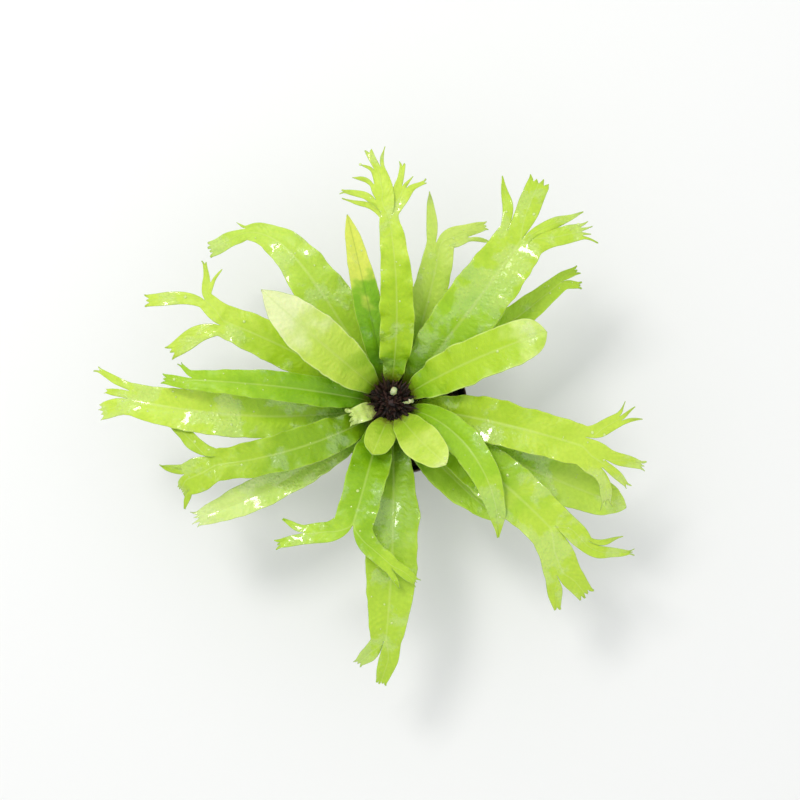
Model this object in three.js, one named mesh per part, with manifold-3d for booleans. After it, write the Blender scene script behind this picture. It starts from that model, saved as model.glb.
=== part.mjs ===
// Potted fern: a crested bird's-nest fern in a round nursery pot.
// Millimetres, +Z up. The origin is the centre of the pot's flat underside.
import * as THREE from 'three';
import { mergeVertices } from 'three/addons/utils/BufferGeometryUtils.js';
import Module from 'manifold-3d';

const wasm = await Module();
wasm.setup();

// --- driving dimensions -------------------------------------------------------
const POT_RIM_DIAMETER = 100;
const POT_BASE_DIAMETER = 70;
const POT_HEIGHT = 85;
const POT_WALL = 1.5;
const POT_FLOOR = 2.5;
const RIM_HEIGHT = 12;
const RIM_STEP = 1.6;
const POT_SEGMENTS = 40;

const DRAIN_HOLE_DIAMETER = 8;
const DRAIN_RING_DIAMETER = 44;
const DRAIN_HOLES = 6;
const HOLE_SEGMENTS = 12;

const HEADSPACE = 11;
const SOIL_UNEVENNESS = 1.2;
const SOIL_LUMP = 22;

const CLEARANCE = 0.3;

const CROWN_OFFSET = new THREE.Vector2(-7, 1.5);
const CROWN_RADIUS = 17;
const CROWN_HEIGHT = 24;
const SPIKE_LENGTH = 11;
const SPIKE_RADIUS = 1.5;
const SPIKE_ROOT = 1.5;

const PLANT_SCALE = 1;
const BLADE_THICKNESS = 0.8;
const STIPE_WIDTH = 7.5;
const STIPES_ROUND_CROWN = 14;
const BLADE_FOLD = 10;
const BLADE_ROWS = 9;
const LOBE_ROWS = 3;

// Heights of the rings of frond bases, as a share of the crown's height.
const RING_LEVEL = { top: 0.8, inner: 0.6, middle: 0.36, outer: 0.12 };

// --- how each frond grows -------------------------------------------------------
// heading: compass angle of the first stretch, from +X towards +Y, and sweep: how far it turns.
// late: how much of the sweep is kept for the end.  seat: compass angle of its place on the crown.
// rise, fall: slope at the base and at the end.  length, width, neck: of the blade, and its width
// at the crest.  crest: the lobes from left to right, seen along the frond, each with its turn,
// length, end width and droop, and either lobes of its own or a span of blade columns.
const FRONDS = {
  frond_north: {
    ring: 'inner', heading: 80, sweep: 20, seat: 88, rise: 56, fall: 4,
    length: 140, width: 24, neck: 19, widest: 0.45,
    crest: [
      { turn: 50, length: 10, width: 8, droop: 5, crest: [
        { turn: 50, length: 19, width: 2, droop: 10 },
        { turn: -5, length: 15, width: 2, droop: 5 },
      ] },
      { turn: 22, length: 23, width: 15, droop: 0, crest: [
        { turn: 20, length: 16, width: 2, droop: 5 },
        { turn: -5, length: 21, width: 3, droop: 0 },
        { turn: -35, length: 26, width: 3, droop: 0 },
        { turn: -60, length: 25, width: 2, droop: 5 },
      ] },
      { turn: -25, length: 16, width: 11, droop: 5, crest: [
        { turn: -5, length: 23, width: 3, droop: 5 },
        { turn: -35, length: 19, width: 3, droop: 5 },
        { turn: -70, length: 16, width: 3, droop: 10 },
      ] },
    ],
  },
  frond_north_narrow: {
    ring: 'middle', heading: 102, sweep: 2, seat: 106, rise: 50, fall: 22,
    length: 140, width: 20, neck: 1.5, widest: 0.42, columns: 2,
  },
  frond_northwest_arching: {
    ring: 'outer', heading: 123, sweep: 61, late: 6, seat: 120, rise: 44, fall: -22,
    length: 167, width: 36, neck: 13, widest: 0.45,
    crest: [
      { turn: 35, length: 28, width: 9, droop: 10, span: 3 },
      { turn: -35, length: 8, width: 2, droop: 10, span: 1 },
    ],
  },
  frond_northwest_young: {
    ring: 'inner', heading: 148, sweep: -9, seat: 134, rise: 66, fall: 28,
    length: 142, width: 35, neck: 4, widest: 0.55, taper: 2.8, columns: 4,
  },
  frond_west_antlered: {
    ring: 'outer', heading: 150, sweep: 9, seat: 154, rise: 35, fall: 2,
    length: 125, width: 31, neck: 22, widest: 0.5,
    crest: [
      { turn: 58, length: 37, width: 6, droop: 15, span: 2 },
      { turn: -20, length: 18, width: 11, droop: 0, crest: [
        { turn: 45, length: 41, width: 8, droop: 15, span: 2 },
        { turn: -60, length: 11, width: 9, droop: 0, crest: [
          { turn: 20, length: 13, width: 3, droop: -20 },
          { turn: -25, length: 10, width: 3, droop: 10 },
        ] },
      ] },
    ],
  },
  frond_west_unrolling: {
    ring: 'top', heading: 202, sweep: 0, rise: 60, fall: 26,
    length: 29, width: 14, neck: 12, widest: 0.7, columns: 4,
  },
  frond_west_upper: {
    ring: 'inner', heading: 173, sweep: 4, rise: 52, fall: -8,
    length: 144, width: 22, neck: 12, widest: 0.4,
    crest: [
      { turn: -15, length: 19, width: 3, droop: 10, span: 2 },
      { turn: -45, length: 9, width: 3, droop: 5, span: 2 },
    ],
  },
  frond_west_long: {
    ring: 'outer', heading: 192, sweep: -26, rise: 38, fall: -10,
    length: 186, width: 33, neck: 22, widest: 0.5,
    crest: [
      { turn: 35, length: 20, width: 8, droop: 10, span: 2 },
      { turn: 5, length: 17, width: 3, droop: 5, span: 2 },
      { turn: -15, length: 26, width: 2.5, droop: 0, span: 2 },
    ],
  },
  frond_southwest_wavy: {
    ring: 'middle', heading: 214, sweep: -28, rise: 50, fall: -8,
    length: 130, width: 28, neck: 22, widest: 0.45,
    crest: [
      { turn: 5, length: 23, width: 18, droop: 5, crest: [
        { turn: 20, length: 24, width: 10, droop: 35, span: 2 },
        { turn: -5, length: 22, width: 4, droop: 20 },
        { turn: -30, length: 21, width: 2, droop: 5 },
      ] },
      { turn: -48, length: 40, width: 6, droop: 18, span: 2 },
    ],
  },
  frond_southwest_low: {
    ring: 'outer', heading: 220, sweep: -20, seat: 226, rise: 33, fall: -8,
    length: 154, width: 24, neck: 12, widest: 0.55, taper: 2.5,
    crest: [
      { turn: 35, length: 7, width: 3, droop: 5, span: 2 },
      { turn: 5, length: 12, width: 5, droop: 5, span: 2 },
    ],
  },
  frond_south_forked: {
    ring: 'middle', heading: 257, sweep: -8, seat: 244, rise: 57, fall: 10,
    length: 99, width: 25, neck: 22, widest: 0.5,
    crest: [
      { turn: 80, length: 40, width: 12, droop: 15, crest: [
        { turn: 0, length: 18, width: 4, droop: 10 },
        { turn: -18, length: 17, width: 3, droop: 10 },
      ] },
      { turn: -85, length: 28, width: 11, droop: 10, crest: [
        { turn: 15, length: 23, width: 2, droop: 5 },
        { turn: -20, length: 18, width: 3, droop: 0 },
      ] },
    ],
  },
  frond_south_long: {
    ring: 'middle', heading: 273, sweep: -9, seat: 273, rise: 38, fall: -20,
    length: 167, width: 37, neck: 20, widest: 0.55,
    crest: [
      { turn: -15, length: 33, width: 6, droop: 15, span: 3 },
      { turn: -45, length: 22, width: 6, droop: 20, span: 2 },
    ],
  },
  frond_south_small: {
    ring: 'top', heading: 249, sweep: 0, seat: 260, rise: 60, fall: 36,
    length: 44, width: 20, neck: 9, widest: 0.55, taper: 2.6, columns: 4,
  },
  frond_southeast_young: {
    ring: 'top', heading: 302, sweep: 16, seat: 303, rise: 62, fall: 34,
    length: 75, width: 27, neck: 8, widest: 0.55, taper: 2.6, columns: 4,
  },
  frond_east_drooping: {
    ring: 'inner', heading: 343, sweep: -74, seat: 342, rise: 58, fall: -34,
    length: 138, width: 23, neck: 3, widest: 0.45, taper: 1.8, columns: 4,
  },
  frond_southeast_crested: {
    ring: 'middle', heading: 330, sweep: -16, seat: 318, rise: 38, fall: -8,
    length: 138, width: 36, neck: 32, widest: 0.6,
    crest: [
      { turn: 0, length: 25, width: 11, droop: 5, crest: [
        { turn: 65, length: 24, width: 2, droop: 5 },
        { turn: 45, length: 40, width: 3, droop: 8 },
      ] },
      { turn: -12, length: 66, width: 9, droop: 20, span: 2 },
      { turn: -28, length: 51, width: 4, droop: 15, span: 2 },
    ],
  },
  frond_southeast_low: {
    ring: 'outer', heading: 310, sweep: 10, seat: 300, rise: 28, fall: 2,
    length: 107, width: 29, neck: 3, widest: 0.5, columns: 4,
  },
  frond_east_crested: {
    ring: 'middle', heading: 348, sweep: -5, seat: 351, rise: 48, fall: -4,
    length: 137, width: 33, neck: 28, widest: 0.5,
    crest: [
      { turn: 48, length: 24, width: 11, droop: 5, crest: [
        { turn: 25, length: 13, width: 2.5, droop: 5 },
        { turn: 8, length: 19, width: 2.5, droop: 5 },
        { turn: -12, length: 19, width: 2, droop: 5 },
      ] },
      { turn: -10, length: 27, width: 11, droop: 10, crest: [
        { turn: 12, length: 20, width: 4, droop: 10 },
        { turn: -8, length: 22, width: 3, droop: 10 },
      ] },
      { turn: -50, length: 45, width: 8, droop: 28, span: 2 },
    ],
  },
  frond_east_low: {
    ring: 'outer', heading: 330, sweep: 11, seat: 340, rise: 27, fall: -12,
    length: 175, width: 32, neck: 16, widest: 0.6, taper: 3, columns: 4,
  },
  frond_northeast_plain: {
    ring: 'inner', heading: 26, sweep: -9, seat: 29, rise: 58, fall: 10,
    length: 128, width: 32, neck: 14, widest: 0.5, taper: 3, columns: 4,
  },
  frond_northeast_low: {
    ring: 'outer', heading: 31, sweep: 9, rise: 32, fall: -6,
    length: 143, width: 21, neck: 13, widest: 0.5,
    crest: [
      { turn: -20, length: 13, width: 4, droop: 5, span: 2 },
      { turn: -48, length: 11, width: 5, droop: 5, span: 2 },
    ],
  },
  frond_northeast_crested: {
    ring: 'middle', heading: 46, sweep: 9, rise: 50, fall: 2,
    length: 147, width: 44, neck: 34, widest: 0.55,
    crest: [
      { turn: 48, length: 36, width: 3, droop: 0, span: 2 },
      { turn: 10, length: 42, width: 14, droop: -25, span: 3 },
      { turn: -36, length: 47, width: 3, droop: 5, span: 2 },
      { turn: -40, length: 29, width: 9, droop: 5, crest: [
        { turn: -25, length: 14, width: 5, droop: 5 },
        { turn: -60, length: 12, width: 3, droop: 8 },
      ] },
    ],
  },
  frond_north_forked: {
    ring: 'outer', heading: 66, sweep: 14, rise: 44, fall: 10,
    length: 114, width: 25, neck: 20, widest: 0.5,
    crest: [
      { turn: 15, length: 36, width: 3, droop: 0, span: 2 },
      { turn: -65, length: 17, width: 11, droop: 5, crest: [
        { turn: -10, length: 13, width: 5, droop: 5 },
        { turn: -30, length: 15, width: 3, droop: 5 },
      ] },
    ],
  },
};

// --- materials ----------------------------------------------------------------
const matte = (color, roughness) => new THREE.MeshStandardMaterial({ color, roughness, metalness: 0 });
const MATERIALS = {
  pot: matte('#15110d', 0.55),
  mix: matte('#3a2a1e', 0.95),
  crown: matte('#20150f', 0.9),
  bud: matte('#b6c284', 0.6),
  blade: matte('#a9c94a', 0.45),
  youngBlade: matte('#c9de7c', 0.5),
};
const YOUNG_FRONDS = [
  'frond_northwest_young',
  'frond_west_unrolling',
  'frond_south_small',
  'frond_southeast_young',
];

// --- helpers --------------------------------------------------------------------
const radians = THREE.MathUtils.degToRad;

function solidFrom(geometry) {
  const bare = geometry.clone();
  bare.deleteAttribute('normal');
  bare.deleteAttribute('uv');
  const merged = mergeVertices(bare, 1e-4);
  return new wasm.Manifold(new wasm.Mesh({
    numProp: 3,
    vertProperties: new Float32Array(merged.attributes.position.array),
    triVerts: new Uint32Array(merged.index.array),
  }));
}

function geometryFrom(solid) {
  const mesh = solid.getMesh();
  const geometry = new THREE.BufferGeometry();
  geometry.setAttribute('position', new THREE.BufferAttribute(new Float32Array(mesh.vertProperties), 3));
  geometry.setIndex(new THREE.BufferAttribute(new Uint32Array(mesh.triVerts), 1));
  geometry.computeVertexNormals();
  return geometry;
}

function latheZ(profile, segments) {
  const points = profile.map(([radius, height]) => new THREE.Vector2(radius, height));
  return new THREE.LatheGeometry(points, segments).rotateX(Math.PI / 2);
}

// --- pot --------------------------------------------------------------------------
const rimRadius = POT_RIM_DIAMETER / 2;
const baseRadius = POT_BASE_DIAMETER / 2;
const shoulderHeight = POT_HEIGHT - RIM_HEIGHT;
const bodyRadius = rimRadius - RIM_STEP;

// Outer radius of the tapered body at a height below the rim band.
function potBodyRadius(height) {
  return THREE.MathUtils.lerp(baseRadius, bodyRadius, Math.min(1, height / shoulderHeight));
}

function makePot() {
  let pot = solidFrom(latheZ([
    [0, 0],
    [baseRadius, 0],
    [bodyRadius, shoulderHeight],
    [rimRadius, shoulderHeight],
    [rimRadius, POT_HEIGHT],
    [rimRadius - POT_WALL, POT_HEIGHT],
    [bodyRadius - POT_WALL, shoulderHeight],
    [potBodyRadius(POT_FLOOR) - POT_WALL, POT_FLOOR],
    [0, POT_FLOOR],
  ], POT_SEGMENTS));
  const holeRadius = DRAIN_HOLE_DIAMETER / 2;
  const hole = new THREE.CylinderGeometry(holeRadius, holeRadius, POT_FLOOR * 3, HOLE_SEGMENTS);
  hole.rotateX(Math.PI / 2);
  for (let index = 0; index < DRAIN_HOLES; index += 1) {
    const angle = (index / DRAIN_HOLES) * Math.PI * 2;
    const x = Math.cos(angle) * DRAIN_RING_DIAMETER / 2;
    const y = Math.sin(angle) * DRAIN_RING_DIAMETER / 2;
    pot = pot.subtract(solidFrom(hole.clone().translate(x, y, 0)));
  }
  return geometryFrom(pot);
}

// --- potting mix ---------------------------------------------------------------------
const soilTop = POT_HEIGHT - HEADSPACE;
const soilBottom = POT_FLOOR + CLEARANCE;

// Radius of the mix at a height. The wall leans, so a second clearance keeps the first one square to it.
function mixRadius(height) {
  return potBodyRadius(height) - POT_WALL - CLEARANCE * 2;
}

function makePottingMix() {
  const edgeHeight = soilTop - SOIL_UNEVENNESS * 2;
  const rings = [0.85, 0.65, 0.42, 0.2];
  const edgeRadius = mixRadius(edgeHeight);
  const geometry = latheZ([
    [0, soilBottom],
    [mixRadius(soilBottom), soilBottom],
    [edgeRadius, edgeHeight],
    ...rings.map((share) => [edgeRadius * share, soilTop - SOIL_UNEVENNESS]),
    [0, soilTop - SOIL_UNEVENNESS],
  ], POT_SEGMENTS);
  const position = geometry.attributes.position;
  for (let index = 0; index < position.count; index += 1) {
    const x = position.getX(index);
    const y = position.getY(index);
    if (position.getZ(index) > edgeHeight + SOIL_UNEVENNESS / 2) {
      const lump = Math.sin((x * Math.PI * 2) / SOIL_LUMP) * Math.cos((y * Math.PI * 2) / SOIL_LUMP);
      position.setZ(index, position.getZ(index) + lump * SOIL_UNEVENNESS * 0.8);
    }
  }
  return geometryFrom(solidFrom(geometry));
}

// --- crown ----------------------------------------------------------------------------
const crownBottom = soilTop + CLEARANCE;

const crownHeight = CROWN_HEIGHT * PLANT_SCALE;
const stipeWidth = STIPE_WIDTH * PLANT_SCALE;

// The crown's foot is never too thin for its stipes to stand side by side round it.
const footRadius = Math.max(CROWN_RADIUS, (STIPES_ROUND_CROWN * stipeWidth) / (Math.PI * 2));

// Height and radius of the dome of scales at a share of its height.
const heightAt = (level) => crownBottom + crownHeight * level;

function crownRadius(level) {
  return footRadius * Math.sqrt(Math.max(0, 1 - level ** 2.2));
}

function makeCrown(buds) {
  const levels = [0, 0.15, 0.3, 0.45, 0.6, 0.75, 0.88, 0.96];
  const dome = latheZ([
    [0, crownBottom],
    ...levels.map((level) => [crownRadius(level), heightAt(level)]),
    [0, heightAt(1)],
  ], 24);
  dome.translate(CROWN_OFFSET.x, CROWN_OFFSET.y, 0);
  let crown = solidFrom(dome);
  const rings = [
    { level: 0.9, count: 9, lean: 20 },
    { level: 0.96, count: 6, lean: 12 },
    { level: 0.995, count: 3, lean: 5 },
  ];
  rings.forEach(({ level, count, lean }, ring) => {
    for (let index = 0; index < count; index += 1) {
      const length = SPIKE_LENGTH * (0.8 + 0.4 * ((index * 7 + ring * 3) % 5) / 5);
      const spike = new THREE.ConeGeometry(SPIKE_RADIUS, length, 5).rotateX(Math.PI / 2);
      spike.translate(0, 0, length / 2 - SPIKE_ROOT);
      spike.rotateY(radians(lean));
      spike.translate(crownRadius(level) - SPIKE_RADIUS, 0, heightAt(level) - SPIKE_ROOT);
      spike.rotateZ(((index + ring * 0.4) / count) * Math.PI * 2);
      spike.translate(CROWN_OFFSET.x, CROWN_OFFSET.y, 0);
      crown = crown.add(solidFrom(spike));
    }
  });
  buds.forEach((cutter) => {
    crown = crown.subtract(solidFrom(cutter));
  });
  return geometryFrom(crown);
}

// --- croziers -----------------------------------------------------------------------------
// A young frond still rolled up: a stalk that leans out from the crown and ends in a flat coil.
const STALK_DEPTH = 1.5;
const CROZIERS = {
  crozier_centre: { seat: 75, level: 0.9, lean: 10, stalk: 7, coil: 2.7, thickness: 1.7, turns: 0.8 },
  crozier_east: { seat: 5, level: 0.86, lean: 44, stalk: 9, coil: 2.5, thickness: 1.6, turns: 0.8 },
};

function crozierPlace({ seat, level }) {
  const radius = crownRadius(level) * 0.8;
  return new THREE.Vector3(
    CROWN_OFFSET.x + radius * Math.cos(radians(seat)),
    CROWN_OFFSET.y + radius * Math.sin(radians(seat)),
    heightAt(level) - STALK_DEPTH,
  );
}

function makeCrozier(bud) {
  const { seat, lean, stalk, coil, thickness, turns } = bud;
  const points = [];
  for (let step = 0; step <= 3; step += 1) {
    points.push(new THREE.Vector2(0, stalk * step / 3));
  }
  const steps = Math.round(12 * turns);
  for (let step = 1; step <= steps; step += 1) {
    const share = step / steps;
    const angle = share * turns * Math.PI * 2;
    const radius = coil * (1 - 0.42 * share);
    points.push(new THREE.Vector2(coil - radius * Math.cos(angle), stalk + radius * Math.sin(angle)));
  }
  const path = new THREE.CatmullRomCurve3(points.map(({ x, y }) => new THREE.Vector3(x, 0, y)));
  const section = new THREE.Shape();
  section.absellipse(0, 0, thickness / 2, thickness / 2.6, 0, Math.PI * 2);
  const geometry = new THREE.ExtrudeGeometry(section, {
    steps: points.length * 2,
    curveSegments: 4,
    bevelEnabled: false,
    extrudePath: path,
  });
  geometry.rotateY(radians(lean));
  geometry.rotateZ(radians(seat));
  const place = crozierPlace(bud);
  geometry.translate(place.x, place.y, place.z);
  return geometryFrom(solidFrom(geometry));
}

// The socket in the crown that a crozier's stalk stands in.
function crozierSocket(bud) {
  const place = crozierPlace(bud);
  const radius = bud.thickness / 2 + CLEARANCE * 2;
  const mouth = Math.max(radius * 1.6, bud.coil + CLEARANCE);
  const socket = new THREE.CylinderGeometry(mouth, radius, bud.stalk + SPIKE_LENGTH, 10);
  socket.rotateX(Math.PI / 2);
  socket.translate(0, 0, (bud.stalk + SPIKE_LENGTH) / 2 - CLEARANCE);
  socket.rotateY(radians(bud.lean));
  socket.rotateZ(radians(bud.seat));
  return socket.translate(place.x, place.y, place.z);
}

// --- fronds -----------------------------------------------------------------------------------
const columnsOf = (lobe) => (lobe.crest
  ? lobe.crest.reduce((sum, child) => sum + columnsOf(child), 0)
  : lobe.span ?? lobe.columns ?? 1);

// Direction of growth, the blade's left side and its upper side.
function growthFrame(azimuth, slope) {
  const forward = new THREE.Vector3(
    Math.cos(slope) * Math.cos(azimuth),
    Math.cos(slope) * Math.sin(azimuth),
    Math.sin(slope),
  );
  const left = new THREE.Vector3(-Math.sin(azimuth), Math.cos(azimuth), 0);
  return { forward, left, upper: forward.clone().cross(left) };
}

function bladeWidth({ width, neck, widest = 0.5, taper = 2 }, share) {
  if (share < widest) {
    return STIPE_WIDTH + (width - STIPE_WIDTH) * Math.sin((share / widest) * Math.PI / 2);
  }
  return neck + (width - neck) * (1 - ((share - widest) / (1 - widest)) ** taper);
}

// One row of points across the blade, from its left edge to its right edge.
function addRow(sheet, centre, { left, upper }, width, columns, fold) {
  const row = [];
  for (let column = 0; column <= columns; column += 1) {
    const across = 1 - (2 * column) / columns;
    const point = centre.clone()
      .addScaledVector(left, across * width / 2 * Math.cos(fold))
      .addScaledVector(upper, Math.abs(across) * width / 2 * Math.sin(fold));
    row.push(sheet.points.push(point) - 1);
  }
  return row;
}

function joinRows(sheet, near, far) {
  for (let column = 0; column + 1 < near.length; column += 1) {
    sheet.quads.push([near[column + 1], near[column], far[column], far[column + 1]]);
  }
}

function addLobes(sheet, lobes, row, frame) {
  let start = 0;
  for (const lobe of lobes) {
    const columns = columnsOf(lobe);
    const share = row.slice(start, start + columns + 1);
    addLobe(sheet, lobe, share, frame);
    start += columns;
  }
}

function addLobe(sheet, lobe, row, frame) {
  const columns = row.length - 1;
  const first = sheet.points[row[0]];
  const last = sheet.points[row[columns]];
  const centre = first.clone().add(last).multiplyScalar(0.5);
  const startWidth = first.distanceTo(last);
  let near = row;
  let tip = frame;
  for (let step = 1; step <= LOBE_ROWS; step += 1) {
    const share = step / LOBE_ROWS;
    const yaw = radians(lobe.turn * Math.min(1, step / (LOBE_ROWS - 1)));
    const forward = frame.forward.clone().applyAxisAngle(frame.upper, yaw);
    const left = frame.left.clone().applyAxisAngle(frame.upper, yaw);
    const pitch = radians(lobe.droop * share);
    tip = {
      forward: forward.applyAxisAngle(left, pitch),
      left,
      upper: frame.upper.clone().applyAxisAngle(left, pitch),
    };
    centre.addScaledVector(tip.forward, PLANT_SCALE * lobe.length / LOBE_ROWS);
    const width = startWidth + (PLANT_SCALE * lobe.width - startWidth) * share ** 0.8;
    const far = addRow(sheet, centre, tip, width, columns, 0);
    joinRows(sheet, near, far);
    near = far;
  }
  if (lobe.crest) {
    addLobes(sheet, lobe.crest, near, tip);
  }
}

// The blade as an open sheet of quads.
function growSheet(frond) {
  const sheet = { points: [], quads: [] };
  const columns = columnsOf(frond);
  const level = RING_LEVEL[frond.ring];
  const seat = radians(frond.seat ?? frond.heading);
  const skew = Math.abs(Math.sin(radians(frond.heading) - seat));
  const clearOfCrown = CLEARANCE + BLADE_THICKNESS / 2 + skew * stipeWidth / 2;
  const seatRadius = crownRadius(level) + clearOfCrown;
  const centre = new THREE.Vector3(
    CROWN_OFFSET.x + seatRadius * Math.cos(seat),
    CROWN_OFFSET.y + seatRadius * Math.sin(seat),
    heightAt(level),
  );
  const frameAt = (share) => growthFrame(
    radians(frond.heading + frond.sweep * share ** (frond.late ?? 1)),
    radians(frond.rise + (frond.fall - frond.rise) * share),
  );
  const rowWidth = (share) => PLANT_SCALE * bladeWidth(frond, share);
  const fold = (share) => radians(BLADE_FOLD * (1 - 0.6 * share));
  let near = addRow(sheet, centre, frameAt(0), rowWidth(0), columns, fold(0));
  for (let row = 1; row <= BLADE_ROWS; row += 1) {
    const share = row / BLADE_ROWS;
    const middle = frameAt(share - 0.5 / BLADE_ROWS);
    centre.addScaledVector(middle.forward, PLANT_SCALE * frond.length / BLADE_ROWS);
    const far = addRow(sheet, centre, frameAt(share), rowWidth(share), columns, fold(share));
    joinRows(sheet, near, far);
    near = far;
  }
  if (frond.crest) {
    addLobes(sheet, frond.crest, near, frameAt(1));
  }
  return sheet;
}

// A closed solid: the sheet moved half its thickness to each side, with walls along its outline.
function thicken({ points, quads }, thickness) {
  const normals = points.map(() => new THREE.Vector3());
  for (const quad of quads) {
    const [a, b, c, d] = quad.map((index) => points[index]);
    const normal = c.clone().sub(a).cross(d.clone().sub(b)).normalize();
    quad.forEach((index) => normals[index].add(normal));
  }
  const position = [];
  for (const side of [1, -1]) {
    points.forEach((point, index) => {
      const moved = point.clone().addScaledVector(normals[index].normalize(), side * thickness / 2);
      position.push(moved.x, moved.y, moved.z);
    });
  }
  const under = points.length;
  const triangles = [];
  const edges = new Map();
  for (const [a, b, c, d] of quads) {
    triangles.push(a, b, c, a, c, d);
    triangles.push(under + a, under + c, under + b, under + a, under + d, under + c);
    for (const [from, to] of [[a, b], [b, c], [c, d], [d, a]]) {
      const twin = `${to}-${from}`;
      if (edges.has(twin)) {
        edges.delete(twin);
      } else {
        edges.set(`${from}-${to}`, [from, to]);
      }
    }
  }
  for (const [from, to] of edges.values()) {
    triangles.push(from, under + from, under + to, from, under + to, to);
  }
  const geometry = new THREE.BufferGeometry();
  geometry.setAttribute('position', new THREE.Float32BufferAttribute(position, 3));
  geometry.setIndex(triangles);
  geometry.computeVertexNormals();
  return geometry;
}

// --- assembly -----------------------------------------------------------------------------
const fern = new THREE.Group();
fern.name = 'potted_fern';

function place(name, geometry, material) {
  const mesh = new THREE.Mesh(geometry, material);
  mesh.name = name;
  fern.add(mesh);
}

place('nursery_pot', makePot(), MATERIALS.pot);
place('potting_mix', makePottingMix(), MATERIALS.mix);
place('crown', makeCrown(Object.values(CROZIERS).map(crozierSocket)), MATERIALS.crown);

for (const [name, bud] of Object.entries(CROZIERS)) {
  place(name, makeCrozier(bud), MATERIALS.bud);
}

for (const [name, frond] of Object.entries(FRONDS)) {
  const material = YOUNG_FRONDS.includes(name) ? MATERIALS.youngBlade : MATERIALS.blade;
  place(name, thicken(growSheet(frond), BLADE_THICKNESS), material);
}

export default fern;
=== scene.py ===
# %% [markdown]
# # A crested bird's-nest fern in a nursery pot
# The plant is seen from almost straight above: strap-shaped fronds arch out of a dark scaly crown, and
# most of them end in a crest, where the blade forks again and again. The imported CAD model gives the
# frame: the places below are read from it or follow the plant's growth figures, which are close to those
# of the frame. The pieces are the pot, the potting mix, the crown with its papery scales, the rolled-up
# croziers, the fronds and some water.

# %% Load the frame
import math
import random

import bmesh
import bpy
from mathutils import Matrix, Quaternion, Vector, noise


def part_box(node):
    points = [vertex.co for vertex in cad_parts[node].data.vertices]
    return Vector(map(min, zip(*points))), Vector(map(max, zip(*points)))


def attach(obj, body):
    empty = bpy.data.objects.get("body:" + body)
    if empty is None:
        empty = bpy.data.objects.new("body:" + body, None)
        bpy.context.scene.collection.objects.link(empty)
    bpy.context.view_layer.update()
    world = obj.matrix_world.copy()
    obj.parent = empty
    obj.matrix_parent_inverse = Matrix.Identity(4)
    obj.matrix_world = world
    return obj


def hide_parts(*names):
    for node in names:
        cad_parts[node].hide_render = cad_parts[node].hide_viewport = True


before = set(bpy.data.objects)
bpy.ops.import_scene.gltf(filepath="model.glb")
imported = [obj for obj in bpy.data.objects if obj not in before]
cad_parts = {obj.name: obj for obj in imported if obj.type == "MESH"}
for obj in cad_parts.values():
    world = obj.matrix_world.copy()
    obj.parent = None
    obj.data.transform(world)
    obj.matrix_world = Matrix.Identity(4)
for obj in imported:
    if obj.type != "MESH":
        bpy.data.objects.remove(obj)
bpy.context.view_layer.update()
MM = 0.001
pot_low, pot_high = (Vector(corner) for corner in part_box("nursery_pot"))
crown_low = Vector(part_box("crown")[0])

# %% [markdown]
# ## Camera, floor and light
# A plant like this is best understood from above, so the camera hangs over the pot, tilted a few degrees.
# A wide lens from close by would also do, but it would make the tall fronds look too large; a long lens
# from a metre away keeps them in proportion. The floor is one plain pale sheet. The sky gives an even
# fill, and one soft lamp at the upper left stands for a window, which gives the leaves their sheen and
# the pot its shadow.

# %% Camera
TILT = math.radians(5)
CAMERA_DISTANCE = 1.069
LENS = 64.7
SENSOR = 36
AIM_SHIFT = Vector((-0.0003, 0.0045, 0))
rim_centre = Vector(((pot_low.x + pot_high.x) / 2, (pot_low.y + pot_high.y) / 2, pot_high.z))
aim = rim_centre + AIM_SHIFT
look = Vector((0, math.sin(TILT), -math.cos(TILT)))

camera = bpy.data.objects.new("camera", bpy.data.cameras.new("camera"))
camera.data.lens = LENS
camera.data.sensor_width = SENSOR
camera.location = aim - look * CAMERA_DISTANCE
camera.rotation_euler = (TILT, 0, 0)
bpy.context.scene.collection.objects.link(camera)
bpy.context.scene.camera = camera
bpy.context.scene.view_settings.view_transform = "Standard"
print("camera at", [round(value, 3) for value in camera.location])

# %% [markdown]
# ## Helpers
# Every piece here ends the same way: a bmesh becomes a mesh, the mesh becomes an object, and the object
# gets its material. Every material is a tree of nodes. Both could be written out each time, but short
# helpers keep the later cells down to what is special about each piece and each finish.


# %% Small helpers for objects
def finish_mesh(name, bm, material, smooth=True):
    """Turns a bmesh into an object at the origin, with its material."""
    mesh = bpy.data.meshes.new(name)
    bm.to_mesh(mesh)
    bm.free()
    for polygon in mesh.polygons:
        polygon.use_smooth = smooth
    for each in material if isinstance(material, (list, tuple)) else [material]:
        mesh.materials.append(each)
    piece = bpy.data.objects.new(name, mesh)
    bpy.context.scene.collection.objects.link(piece)
    return piece


def add_subdivision(piece, levels=1):
    modifier = piece.modifiers.new("smooth", "SUBSURF")
    modifier.levels = levels
    modifier.render_levels = levels


def add_lamp(name, place, target, size, power, tint):
    """A square area lamp that faces a point."""
    data = bpy.data.lights.new(name, "AREA")
    data.size = size
    data.energy = power
    data.color = tint
    lamp = bpy.data.objects.new(name, data)
    lamp.location = place
    lamp.rotation_euler = (Vector(target) - Vector(place)).to_track_quat("-Z", "Y").to_euler()
    bpy.context.scene.collection.objects.link(lamp)


# %% Helpers for materials
def colour(red, green, blue):
    """A display colour, 0 to 255, as the linear values that shaders read."""
    def linear(value):
        value = value / 255
        return value / 12.92 if value <= 0.04045 else ((value + 0.055) / 1.055) ** 2.4
    return (linear(red), linear(green), linear(blue), 1)


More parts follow.
